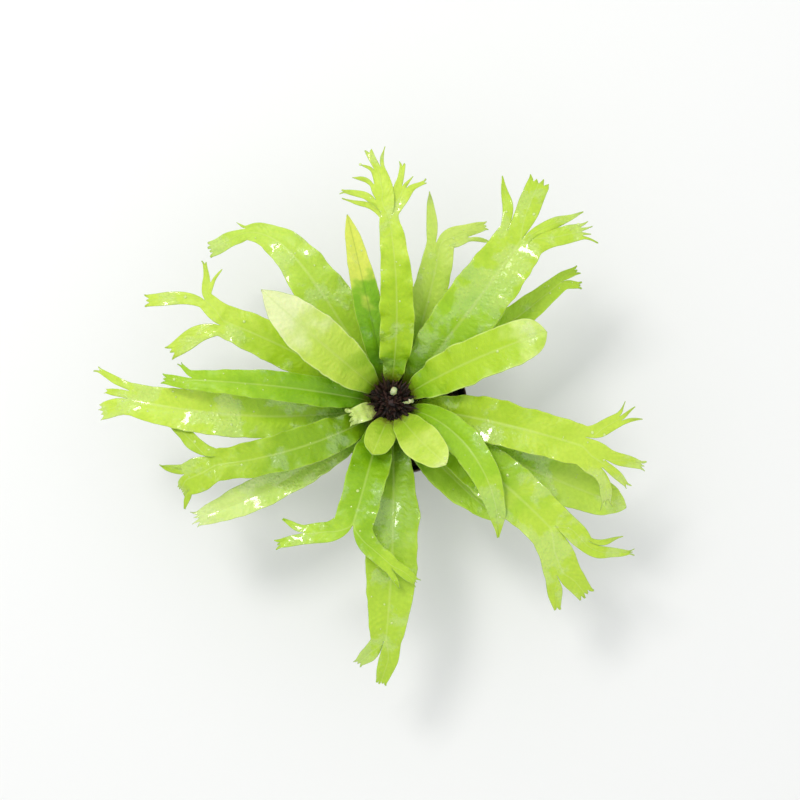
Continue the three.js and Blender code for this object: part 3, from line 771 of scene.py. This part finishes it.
def grow_blade(bm, layer, plan):
    """Grows the whole frond as an open sheet and returns its midline with the pose at each row."""
    shares = cells(plan)
    fine = next(count for count in range(2, 7)
                if shares * count >= FEWEST_COLUMNS and shares * count % 2 == 0)
    columns = shares * fine
    level = RING_LEVEL[plan["ring"]]
    seat = math.radians(plan.get("seat", plan["heading"]))
    skew = abs(math.sin(math.radians(plan["heading"]) - seat))
    reach = crown_radius(level) + SEAT_GAP + skew * STIPE_WIDTH / 2 * MM
    height = crown_low.z + CROWN_HEIGHT * level
    centre = Vector((
        CROWN_OFFSET.x + reach * math.cos(seat), CROWN_OFFSET.y + reach * math.sin(seat), height))

    def pose_at(share):
        azimuth = plan["heading"] + plan["sweep"] * share ** plan.get("late", 1)
        slope = plan["rise"] + (plan["fall"] - plan["rise"]) * share
        return growth_frame(math.radians(azimuth), math.radians(slope))

    steps = round(plan["length"] / ROW_STEP)
    midline = []
    near = None
    for step in range(steps + 1):
        share = step / steps
        if step:
            centre = centre + pose_at(share - 0.5 / steps)[0] * plan["length"] / steps * MM
        pose = pose_at(share)
        width = blade_width(plan, share)
        distance = plan["length"] * share
        fold = FOLD * (1 - 0.6 * share)
        calm = min(1, distance / CALM_LENGTH)
        points = [across_point(plan, centre, pose[1], pose[2], width, side, distance, fold, calm)
                  for side in sides(columns)]
        far_uv = [(index / columns, distance / UV_LENGTH) for index in range(columns + 1)]
        if near is None:
            far = [bm.verts.new(point) for point in points]
            for pair in zip(far, far[1:]):
                bm.edges.new(pair)
        else:
            far, faces = extrude_row(bm, near)
            for vert, point in zip(far, points):
                vert.co = point
            map_row(layer, faces, near, far, near_uv, far_uv)
        on_blade = across_point(plan, centre, pose[1], pose[2], width, 0, distance, fold, calm)
        midline.append((on_blade, pose))
        near, near_uv = far, far_uv
    if plan.get("crest"):
        grow_lobes(bm, layer, plan, plan["crest"], near, near_uv, pose, plan["length"], fine)
    return midline


# %% [markdown]
# ## Stalk and thickness
# A real blade is under a millimetre thick and is carried by a stalk along its underside. A Solidify
# modifier could give the sheet its thickness, but where narrow teeth meet it throws out spikes. So the
# sheet is extruded once as a whole: the copy stays as the upper skin, and the old faces sink by one
# thickness. The stalk is a closed tube, extruded ring by ring along the midline.


# %% Tubes
def grow_tube(bm, stations, segments=6, broad=1.0):
    """Extrudes a closed ring along stations of (centre, side, up, radius) and closes both ends."""
    before = set(bm.faces)
    ring = bmesh.ops.create_circle(bm, segments=segments, radius=1)["verts"]
    first = ring
    for index, (centre, side, up, radius) in enumerate(stations):
        if index:
            ring, _ = extrude_row(bm, ring, closed=True)
        for corner, vert in enumerate(ring):
            angle = corner / segments * math.tau
            vert.co = centre + (side * math.cos(angle) * broad + up * math.sin(angle)) * radius
    for end in (first, ring):
        edges = [bm.edges.get(pair) for pair in zip(end, end[1:] + end[:1])]
        bmesh.ops.contextual_create(bm, geom=edges)
    made = [face for face in bm.faces if face not in before]
    bmesh.ops.recalc_face_normals(bm, faces=made)
    return made


# %% Thickness and the stalk underneath
BLADE_THICKNESS = 0.7
STALK_RADIUS = 1.3
STALK_TIP_RADIUS = 0.3
STALK_END = 0.94


def thicken(bm):
    """Extrudes the sheet: the copy stays as the upper skin, and the old faces sink to the underside."""
    bm.normal_update()
    sinks = {vert: vert.normal * -BLADE_THICKNESS * MM for vert in bm.verts}
    grown = bmesh.ops.extrude_face_region(bm, geom=list(bm.faces))["geom"]
    skin = {item for item in grown if isinstance(item, bmesh.types.BMFace)}
    for vert, sink in sinks.items():
        vert.co += sink
    for face in bm.faces:
        face.material_index = 0 if face in skin else 1
    return bm.calc_volume(signed=True)


def add_stalk(bm, layer, midline):
    """A tapering stalk along the underside, from the crown to near the end of the blade."""
    chosen = midline[0:int(len(midline) * STALK_END):2]
    stations = []
    for index, (centre, (_, left, upper)) in enumerate(chosen):
        radius = STALK_RADIUS * (1 - index / len(chosen)) + STALK_TIP_RADIUS
        middle = centre - upper * (BLADE_THICKNESS * 0.6 + radius) * MM
        stations.append((middle, left, upper, radius * MM))
    for face in grow_tube(bm, stations):
        face.material_index = 1
        for loop in face.loops:
            loop[layer].uv = (0.5, 0.1)


# %% [markdown]
# ## Looks of the fronds
# Old fronds are deep green, young ones are nearly yellow, some are washed pale by the light and some are
# wetter than others. One material with a random tint could vary them too, but each frond has its own age
# and place, so each look is chosen. A look is three display colours, how much of the blade carries a film
# of water, and where needed where the pale tip starts, how long it blends and the colour of the rib.

# %% Looks
LOOKS = {
    "bright": ((126, 172, 16), (172, 206, 26), (202, 226, 78), 0.35),
    "narrow": ((92, 152, 10), (136, 190, 16), (226, 234, 96), 0.1, 0.9, 0.22, (98, 140, 20)),
    "arching": ((122, 170, 18), (178, 210, 54), (194, 222, 80), 0.58),
    "pale": ((132, 180, 10), (204, 228, 84), (240, 248, 186), 0.05, 0.8, 0.7),
    "bud": ((206, 226, 120), (206, 228, 130), (224, 238, 170), 0.5),
    "deep": ((96, 150, 10), (138, 186, 14), (168, 208, 36), 0.12),
    "glossy": ((120, 168, 16), (172, 208, 40), (198, 224, 70), 0.62),
    "olive": ((100, 146, 8), (140, 180, 10), (178, 208, 48), 0.25),
    "low": ((120, 170, 24), (190, 220, 84), (214, 234, 134), 0.76),
    "green": ((94, 150, 8), (144, 188, 14), (182, 216, 54), 0.45),
    "shaded_green": ((116, 168, 18), (176, 214, 52), (196, 224, 80), 0.4),
    "southern": ((86, 132, 6), (152, 192, 26), (182, 213, 56), 0.42),
    "young": ((156, 196, 36), (198, 218, 82), (206, 228, 96), 0.3),
    "young_pale": ((156, 196, 36), (196, 220, 78), (224, 238, 140), 0.3, 0.5),
    "eastern": ((112, 164, 14), (158, 202, 26), (186, 216, 58), 0.4),
    "glossy_green": ((110, 164, 12), (160, 202, 28), (190, 218, 62), 0.55),
    "lime": ((126, 174, 14), (174, 206, 36), (196, 222, 70), 0.4),
    "lime_tipped": ((130, 180, 18), (178, 210, 40), (224, 238, 150), 0.3, 1.06),
    "shaded": ((104, 158, 14), (172, 210, 38), (184, 216, 54), 0.2),
    "cool": ((122, 172, 38), (190, 217, 80), (204, 225, 104), 0.3),
}
blade_looks = {look: blade_material("frond_" + look, *values) for look, values in LOOKS.items()}
print(len(blade_looks), "looks")


def make_frond(name, plan):
    """Grows a sheet, turns it face up, thickens it, adds its stalk and puts it under the root body."""
    bm = bmesh.new()
    layer = bm.loops.layers.uv.new("blade")
    midline = grow_blade(bm, layer, plan)
    bm.normal_update()
    if sum(face.normal.z * face.calc_area() for face in bm.faces) < 0:
        bmesh.ops.reverse_faces(bm, faces=list(bm.faces))
    volume = thicken(bm)
    add_stalk(bm, layer, midline)
    piece = finish_mesh(name + "_leaf", bm, [blade_looks[plan["look"]], frond_underside])
    add_subdivision(piece)
    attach(piece, "root")
    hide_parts(name)
    print(name, round(volume * 1e6, 2), "ml")
    return piece


fronds = {name: make_frond(name, plan) for name, plan in FRONDS.items()}
print(sum(len(piece.data.polygons) for piece in fronds.values()), "faces before smoothing")

# %% [markdown]
# ## The pot
# A thin blown pot: a wall that widens upwards, a stepped rim with a rounded lip, and a floor with six
# drain holes. It could start from a cone and have its rim extruded, but a round thing with a stepped edge
# is easier to read as a profile. So the profile is drawn once, as a chain of edges of radius and height
# in millimetres, and spun round the axis. The holes are cut by six small cylinders.

# %% Spin the pot
POT_STEPS = 96
POT_FLOOR = 2.5
DRAIN_HOLES = 6
DRAIN_HOLE_SEGMENTS = 24
DRAIN_RING_DIAMETER = 44
DRAIN_HOLE_DIAMETER = 8
CUTTER_DEPTH = 6
LIP_FOOT = 0.0835
LIP_TOP = 0.085
DUST_TOP = 0.03
POT_PROFILE = (
    (0, 0), (33.6, 0), (34.7, 0.4), (35.1, 1.4), (48.2, 72.2), (48.5, 72.9), (49.7, 73.1), (50, 73.8),
    (50, 83.9), (49.7, 84.7), (49.2, 85), (48.7, 84.7), (48.4, 84.0), (47.3, 72.9), (46.9, 72.2),
    (33.9, 3.4), (33.2, 2.6), (32.2, 2.5), (0, 2.5),
)


def spin_profile(profile, steps, centre=(0, 0, 0)):
    """Spins a chain of (radius, height) in millimetres round the vertical axis."""
    bm = bmesh.new()
    verts = [bm.verts.new((radius * MM, 0, height * MM)) for radius, height in profile]
    edges = [bm.edges.new(pair) for pair in zip(verts, verts[1:])]
    bmesh.ops.spin(bm, geom=verts + edges, cent=(0, 0, 0), axis=(0, 0, 1), angle=math.tau,
                   steps=steps, use_merge=True)
    bmesh.ops.remove_doubles(bm, verts=list(bm.verts), dist=1e-6)
    bmesh.ops.recalc_face_normals(bm, faces=list(bm.faces))
    bmesh.ops.translate(bm, verts=list(bm.verts), vec=centre)
    return bm


def cut_holes(piece):
    """Cuts the drain holes and keeps the result as the piece's own mesh."""
    bm = bmesh.new()
    radius = DRAIN_HOLE_DIAMETER / 2 * MM
    reach = DRAIN_RING_DIAMETER / 2 * MM
    for hole in range(DRAIN_HOLES):
        angle = hole / DRAIN_HOLES * math.tau
        spot = (reach * math.cos(angle), reach * math.sin(angle), POT_FLOOR / 2 * MM)
        bmesh.ops.create_cone(bm, cap_ends=True, segments=DRAIN_HOLE_SEGMENTS, radius1=radius,
                              radius2=radius, depth=CUTTER_DEPTH * MM, matrix=Matrix.Translation(spot))
    cutter = finish_mesh("cutter", bm, piece.data.materials[0], smooth=False)
    modifier = piece.modifiers.new("holes", "BOOLEAN")
    modifier.operation = "DIFFERENCE"
    modifier.solver = "EXACT"
    modifier.object = cutter
    bpy.context.view_layer.update()
    cut = bpy.data.meshes.new_from_object(piece.evaluated_get(bpy.context.evaluated_depsgraph_get()))
    piece.modifiers.remove(modifier)
    piece.data = cut
    bpy.data.objects.remove(cutter)


def pot_material():
    """Near-black recycled plastic, browner along its edges, with dust near the foot."""
    material, nodes, shader = new_material("pot_plastic_black", Specular_IOR_Level=0.45)
    place = nodes.object_place()
    height = nodes.axis(place, 2)
    cloud = nodes.noise(place, 60, 5, 0.6)
    speck = nodes.noise(place, 900, 2)
    edge = nodes.ramp(height, LIP_FOOT, LIP_TOP)
    body = nodes.mix(nodes.ramp(cloud, 0.35, 0.75), colour(22, 19, 18), colour(38, 33, 31))
    body = nodes.mix(nodes.times(edge, 0.8), body, colour(72, 40, 32))
    dust = nodes.times(nodes.ramp(height, DUST_TOP, 0.0), nodes.ramp(cloud, 0.45, 0.7))
    body = nodes.mix(nodes.times(dust, 0.3), body, colour(120, 104, 84))
    nodes.join(body, shader.inputs["Base Color"])
    rough = nodes.plus(0.3, nodes.times(cloud, 0.3))
    nodes.join(rough, shader.inputs["Roughness"])
    nodes.bump(shader, speck, 0.15, 0.0004)
    return material


pot = finish_mesh("pot_shell", spin_profile(POT_PROFILE, POT_STEPS), pot_material())
cut_holes(pot)
for polygon in pot.data.polygons:
    polygon.use_smooth = True
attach(pot, "root")
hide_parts("nursery_pot")
print(len(pot.data.polygons), "faces in the pot")

# %% [markdown]
# ## Potting mix
# A dark, crumbly mix of bark and peat fills the pot nearly to its rim. Every crumb could be its own
# piece, but most of them are hidden. So the body is one spun shape whose top skin is lifted by noise, and
# only the loose chips of bark and a little perlite on it are separate small stones.

# %% Surface of the mix
random.seed(4)
MIX_RADIUS = 46.3
MIX_TOP = 74.0
MIX_STEPS = 72
MIX_EDGE = 0.047
BROAD_LUMP = 0.9 * MM
SMALL_LUMP = 0.55 * MM


def lump(place):
    """How far the top of the mix stands up or down at a place."""
    return noise.noise(place * 48) * BROAD_LUMP + noise.noise(place * 190) * SMALL_LUMP


def mix_profile():
    """From the middle of the top out to the wall, and down inside the pot to its floor."""
    inner = [(radius, MIX_TOP) for radius in (*range(0, 41, 4), 43, 45.6)]
    return inner + [(MIX_RADIUS - 0.2, MIX_TOP - 0.6), (35.0, 12), (32.8, 4.2), (0, 4.0)]


def mix_material():
    """Wet peat and bark, brown on the crumbs; the dark between them is partly its own, partly painted
    shade.
    """
    material, nodes, shader = new_material("potting_mix_dark", Specular_IOR_Level=0.3)
    place = nodes.object_place()
    coarse = nodes.noise(place, 260, 6, 0.7)
    fine = nodes.noise(place, 1100, 3, 0.6)
    # Partly painted shade: the noise that raises the relief also sets the colour, so where the relief
    # sinks between the crumbs the mix turns nearly black.
    body = nodes.mix(nodes.ramp(coarse, 0.35, 0.7), colour(22, 15, 10), colour(72, 50, 34))
    nodes.join(body, shader.inputs["Base Color"])
    nodes.join(nodes.plus(0.65, nodes.times(fine, 0.25)), shader.inputs["Roughness"])
    relief = nodes.plus(coarse, nodes.times(fine, 0.4))
    nodes.bump(shader, relief, 1.0, 0.0016)
    return material


def chip_material():
    """Each chip takes its own brown from where it lies; a few are pale perlite."""
    material, nodes, shader = new_material("bark_chips", Roughness=0.8)
    place = nodes.object_place()
    tone = nodes.noise(place, 210, 0)
    grain = nodes.noise(place, 1500, 3)
    body = nodes.mix(nodes.ramp(tone, 0.3, 0.62), colour(38, 24, 15), colour(104, 70, 44))
    body = nodes.mix(nodes.ramp(tone, 0.66, 0.7), body, colour(196, 188, 172))
    body = nodes.mix(nodes.times(grain, 0.4), body, colour(26, 17, 11))
    nodes.join(body, shader.inputs["Base Color"])
    nodes.bump(shader, grain, 0.7, 0.0006)
    return material


bm = spin_profile(mix_profile(), MIX_STEPS)
for vert in bm.verts:
    if vert.co.z > (MIX_TOP - 0.5) * MM:
        vert.co.z += lump(vert.co) * (1 - (vert.co.xy.length / MIX_EDGE) ** 8)
mix_top = finish_mesh("mix_surface", bm, mix_material())
add_subdivision(mix_top)
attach(mix_top, "root")
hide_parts("potting_mix")
print(len(mix_top.data.polygons), "faces of mix")

# %% Loose chips
CHIPS_THROWN = 420
CHIP_SIZES = (0.8, 2.4)
CHIP_REACH = 45
CHIP_LIMIT = 45.4

bm = bmesh.new()
for _ in range(CHIPS_THROWN):
    reach = CHIP_REACH * math.sqrt(random.random()) * MM
    angle = random.random() * math.tau
    size = random.uniform(*CHIP_SIZES) * MM
    spot = Vector((reach * math.cos(angle), reach * math.sin(angle), 0))
    if reach + size > CHIP_LIMIT * MM or (spot - CROWN_OFFSET.to_3d()).length < CROWN_RADIUS:
        continue
    spot.z = (MIX_TOP + 0.2) * MM + lump(Vector((spot.x, spot.y, MIX_TOP * MM)))
    turn = Quaternion(Vector((0, 0, 1)), random.random() * math.tau) @ Quaternion(
        Vector((1, 0, 0)), random.uniform(-0.5, 0.5))
    place = Matrix.LocRotScale(spot, turn, (1, random.uniform(0.4, 0.8), random.uniform(0.25, 0.5)))
    made = bmesh.ops.create_icosphere(bm, subdivisions=1, radius=size, matrix=place)["verts"]
    for vert in made:
        vert.co += noise.noise_vector(vert.co * 700) * size * 0.35
chips = finish_mesh("mix_chips", bm, chip_material(), smooth=False)
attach(chips, "root")
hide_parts("potting_mix")
print(len(chips.data.polygons) // 20, "chips")

# %% [markdown]
# ## The crown
# The growing point is hidden by narrow papery scales, almost black with a brown sheen. They stand on a
# low dome, lie over the feet of the fronds and point outwards and up; a few long ones stick out between
# them. A particle system could scatter them, but each would be an instance of one shape. Here each scale
# is extruded on its own, so that no two have the same length, width and bend.

# %% Dome of the crown
DOME_STEPS = 14
DOME_SEGMENTS = 48
DOME_INSET = 0.94
DOME_LOWERING = 0.97


def crown_material():
    """Papery brown-black scales, browner along the tips, dull with a thin sheen."""
    material, nodes, shader = new_material("crown_scales_dark", Roughness=0.52, Specular_IOR_Level=0.35)
    place = nodes.object_place()
    along = nodes.axis(nodes.uv("scale"), 1)
    tone = nodes.noise(place, 300, 1)
    grain = nodes.noise(place, 1600, 3)
    body = nodes.mix(nodes.ramp(tone, 0.35, 0.72), colour(20, 11, 11), colour(62, 35, 31))
    body = nodes.mix(nodes.times(nodes.ramp(along, 0.6, 1.0), 0.45), body, colour(92, 58, 44))
    nodes.join(body, shader.inputs["Base Color"])
    nodes.bump(shader, grain, 0.5, 0.0005)
    return material


def dome_profile():
    """The crown's own shape, drawn a little inside it so that the scales give its outline."""
    profile = [(0, CROWN_HEIGHT / MM * DOME_LOWERING)]
    for index in range(1, DOME_STEPS + 1):
        level = 1 - index / DOME_STEPS
        profile.append((crown_radius(level) / MM * DOME_INSET, CROWN_HEIGHT / MM * level * DOME_LOWERING))
    return profile + [(0, 0)]


scale_material = crown_material()
crown_foot = Vector((CROWN_OFFSET.x, CROWN_OFFSET.y, crown_low.z))
bm = spin_profile(dome_profile(), DOME_SEGMENTS, crown_foot)
for vert in bm.verts:
    if vert.co.z > crown_foot.z + MM:
        vert.co += noise.noise_vector(vert.co * 160) * 0.7 * MM
dome = finish_mesh("crown_dome", bm, scale_material)
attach(dome, "root")
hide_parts("crown")
print(len(dome.data.polygons), "faces in the dome")

# %% Shape of one scale
SCALE_STEPS = 5
SCALE_EDGE = 0.06 * MM
SCALE_THICKNESS = 0.16 * MM


def add_scale(bm, layer, foot, heading, rise, length, width, bend):
    """A pointed scale: a flat four-sided section, extruded while it narrows and bends over."""
    ring = [bm.verts.new(foot) for _ in range(4)]
    for pair in zip(ring, ring[1:] + ring[:1]):
        bm.edges.new(pair)
    first = ring
    made = []
    centre = foot.copy()
    for step in range(SCALE_STEPS + 1):
        share = step / SCALE_STEPS
        slope = rise - bend * share
        forward, left, upper = growth_frame(heading, slope)
        if step:
            ring, faces = extrude_row(bm, ring, closed=True)
            made += faces
            centre = centre + forward * length / SCALE_STEPS
            for face in faces:
                for loop in face.loops:
                    loop[layer].uv = (0.5, share if loop.vert in ring else share - 1 / SCALE_STEPS)
        half = width / 2 * (0.75 + 0.5 * math.sin(share * math.pi)) * (1 - share ** 1.6) + SCALE_EDGE
        thick = SCALE_THICKNESS * (1 - 0.6 * share)
        corners = (left * half, upper * thick, -left * half, -upper * thick)
        for vert, corner in zip(ring, corners):
            vert.co = centre + corner
    made.append(bm.faces.new(first))
    made.append(bm.faces.new(ring))
    bmesh.ops.recalc_face_normals(bm, faces=made)


# %% Scales
GOLDEN_ANGLE = 2.39996
# Count, then the ranges of level, length, rise and width.
SCALE_BELTS = (
    (46, (0.93, 1.0), (4, 6.5), (30, 75), (2.0, 3.0)),
    (64, (0.8, 0.94), (6, 9), (14, 48), (2.8, 4.2)),
    (40, (0.74, 0.84), (7, 10.5), (24, 50), (3.0, 4.4)),
    (60, (0.2, 0.7), (5, 9), (40, 75), (1.6, 2.6)),
)
LONG_SCALE_WIDTH = 3.0 * MM
LONG_SCALE_BEND = 0.35
LONG_SCALE_SEAT = 8 * MM
# Heading, length and rise of each long scale.
LONG_SCALES = (
    (108, 21, 60), (100, 15, 62), (84, 12, 60), (62, 14, 56), (44, 17, 52), (12, 14, 46), (345, 16, 44),
    (322, 15, 44), (300, 10, 56), (165, 17, 52), (186, 13, 50), (222, 13, 48), (134, 15, 58), (260, 9, 60),
)


def scatter_scales(bm, layer, count, level_range, length_range, rise_range, width_range):
    """Goes round the crown by the golden angle, which spaces the scales evenly without rows."""
    for index in range(count):
        level = random.uniform(*level_range)
        heading = index * GOLDEN_ANGLE + random.uniform(-0.3, 0.3)
        reach = crown_radius(level) * 0.9
        foot = crown_foot + Vector((
            reach * math.cos(heading), reach * math.sin(heading), CROWN_HEIGHT * level * 0.95))
        add_scale(bm, layer, foot, heading + random.uniform(-0.7, 0.7),
                  math.radians(random.uniform(*rise_range)), random.uniform(*length_range) * MM,
                  random.uniform(*width_range) * MM, random.uniform(0.2, 1.0))


random.seed(11)
bm = bmesh.new()
layer = bm.loops.layers.uv.new("scale")
for belt in SCALE_BELTS:
    scatter_scales(bm, layer, *belt)
for heading, length, rise in LONG_SCALES:
    angle = math.radians(heading)
    foot = crown_foot + Vector((
        math.cos(angle) * LONG_SCALE_SEAT, math.sin(angle) * LONG_SCALE_SEAT, CROWN_HEIGHT * 0.92))
    add_scale(bm, layer, foot, angle, math.radians(rise), length * MM, LONG_SCALE_WIDTH, LONG_SCALE_BEND)
scales = finish_mesh("crown_scales", bm, scale_material)
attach(scales, "root")
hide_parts("crown")
print(len(scales.data.polygons), "faces of scales")

# %% [markdown]
# ## Croziers
# A new fern frond comes up rolled like the head of a violin, covered in pale down. A flat spiral curve
# with a bevel could show it, but its width has to differ from its depth. So it is the same extruded tube
# as the stalks, broader than deep, which runs up and then round a shrinking circle.

# %% Croziers
COIL_TURNS = 1.08
COIL_STATIONS = 22
STALK_STATIONS = 5
CROZIER_SEGMENTS = 12
CROZIER_BREADTH = 1.9


def crozier_material():
    """Downy cream-green skin of a frond that is still rolled up."""
    material, nodes, shader = new_material(
        "crozier_down", Roughness=0.7, Subsurface_Weight=0.3, Subsurface_Scale=0.002, Sheen_Weight=0.4,
        Sheen_Roughness=0.5)
    place = nodes.object_place()
    down = nodes.noise(place, 1400, 4, 0.6)
    tone = nodes.noise(place, 240, 2)
    body = nodes.mix(nodes.ramp(tone, 0.35, 0.65), colour(178, 192, 126), colour(214, 218, 170))
    body = nodes.mix(nodes.ramp(down, 0.6, 0.8), body, colour(120, 96, 60))
    nodes.join(body, shader.inputs["Base Color"])
    nodes.bump(shader, down, 0.8, 0.0005)
    return material


def make_crozier(name, seat, level, lean, stalk, coil, thickness, material):
    """A short stalk that rolls up into a coil; it stands on the crown and leans outwards."""
    angle = math.radians(seat)
    outward = Vector((math.cos(angle), math.sin(angle), 0))
    side = Vector((-math.sin(angle), math.cos(angle), 0))
    tip = math.radians(lean)
    axis = Vector((0, 0, 1)) * math.cos(tip) + outward * math.sin(tip)
    inward = side.cross(axis)
    reach = crown_radius(level) * 0.8
    foot = crown_foot + outward * reach + Vector((0, 0, CROWN_HEIGHT * level - 1.5 * MM))
    centre = foot + axis * stalk * MM + inward * coil * MM
    stations = []
    for step in range(STALK_STATIONS):
        share = step / STALK_STATIONS
        stations.append((foot + axis * stalk * MM * share, side, inward, thickness * MM))
    for step in range(COIL_STATIONS + 1):
        share = step / COIL_STATIONS
        around = share * COIL_TURNS * math.tau
        radius = coil * (1 - 0.62 * share) * MM
        spoke = -inward * math.cos(around) + axis * math.sin(around)
        stations.append((centre + spoke * radius, side, spoke, thickness * (1 - 0.45 * share) * MM))
    bm = bmesh.new()
    grow_tube(bm, stations, CROZIER_SEGMENTS, broad=CROZIER_BREADTH)
    for vert in bm.verts:
        vert.co += noise.noise_vector(vert.co * 420) * 0.5 * MM
    piece = finish_mesh(name + "_bud", bm, material)
    add_subdivision(piece)
    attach(piece, "root")
    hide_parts(name)
    print(name, len(piece.data.polygons), "faces before smoothing")


down_material = crozier_material()
make_crozier("crozier_centre", 75, 0.9, 10, 7, 1.8, 1.35, down_material)
make_crozier("crozier_east", 5, 0.86, 44, 9, 1.6, 1.15, down_material)

# %% [markdown]
# ## Drops of water
# The plant was just watered, and many small drops sit on the blades. Real ones are clear, and glass with
# water's index of refraction could show that, but on so small a bead it throws a dark spot on the leaf.
# So each drop is a small flattened ball on one face of an upper skin, with a glossy, nearly opaque
# finish whose pale colour is a painted highlight for the light that a clear drop gathers and throws back.

# %% Drops
random.seed(23)
DROPS = 230
DROP_SIZES = (0.35, 0.45, 0.45, 0.6, 0.6, 0.8, 1.1)
LEVEL_ENOUGH = 0.85
DRY_FRONDS = ("frond_west_unrolling", "frond_northwest_young")

# Painted highlight: the pale, nearly opaque colour of the drops stands for the light that a clear drop
# gathers and throws back.
water, _, _ = new_material(
    "water_drops_painted_glint", Base_Color=colour(222, 242, 150), Roughness=0.03, IOR=1.33, Alpha=0.8, Coat_Weight=1.0,
    Coat_Roughness=0.02)
bm = bmesh.new()
wetter = [name for name in FRONDS if name not in DRY_FRONDS]
placed = 0
while placed < DROPS:
    mesh = fronds[random.choice(wetter)].data
    face = mesh.polygons[random.randrange(len(mesh.polygons))]
    if face.material_index or face.normal.z < LEVEL_ENOUGH:
        continue
    size = random.choice(DROP_SIZES) * random.uniform(0.85, 1.15) * MM
    turn = face.normal.to_track_quat("Z", "Y")
    spot = face.center + face.normal * size * 0.12
    place = Matrix.LocRotScale(spot, turn, (1, random.uniform(0.85, 1.15), 0.5))
    bmesh.ops.create_uvsphere(bm, u_segments=8, v_segments=5, radius=size, matrix=place)
    placed += 1
drops = finish_mesh("water_drops_painted_glint", bm, water)
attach(drops, "root")
print(placed, "drops")
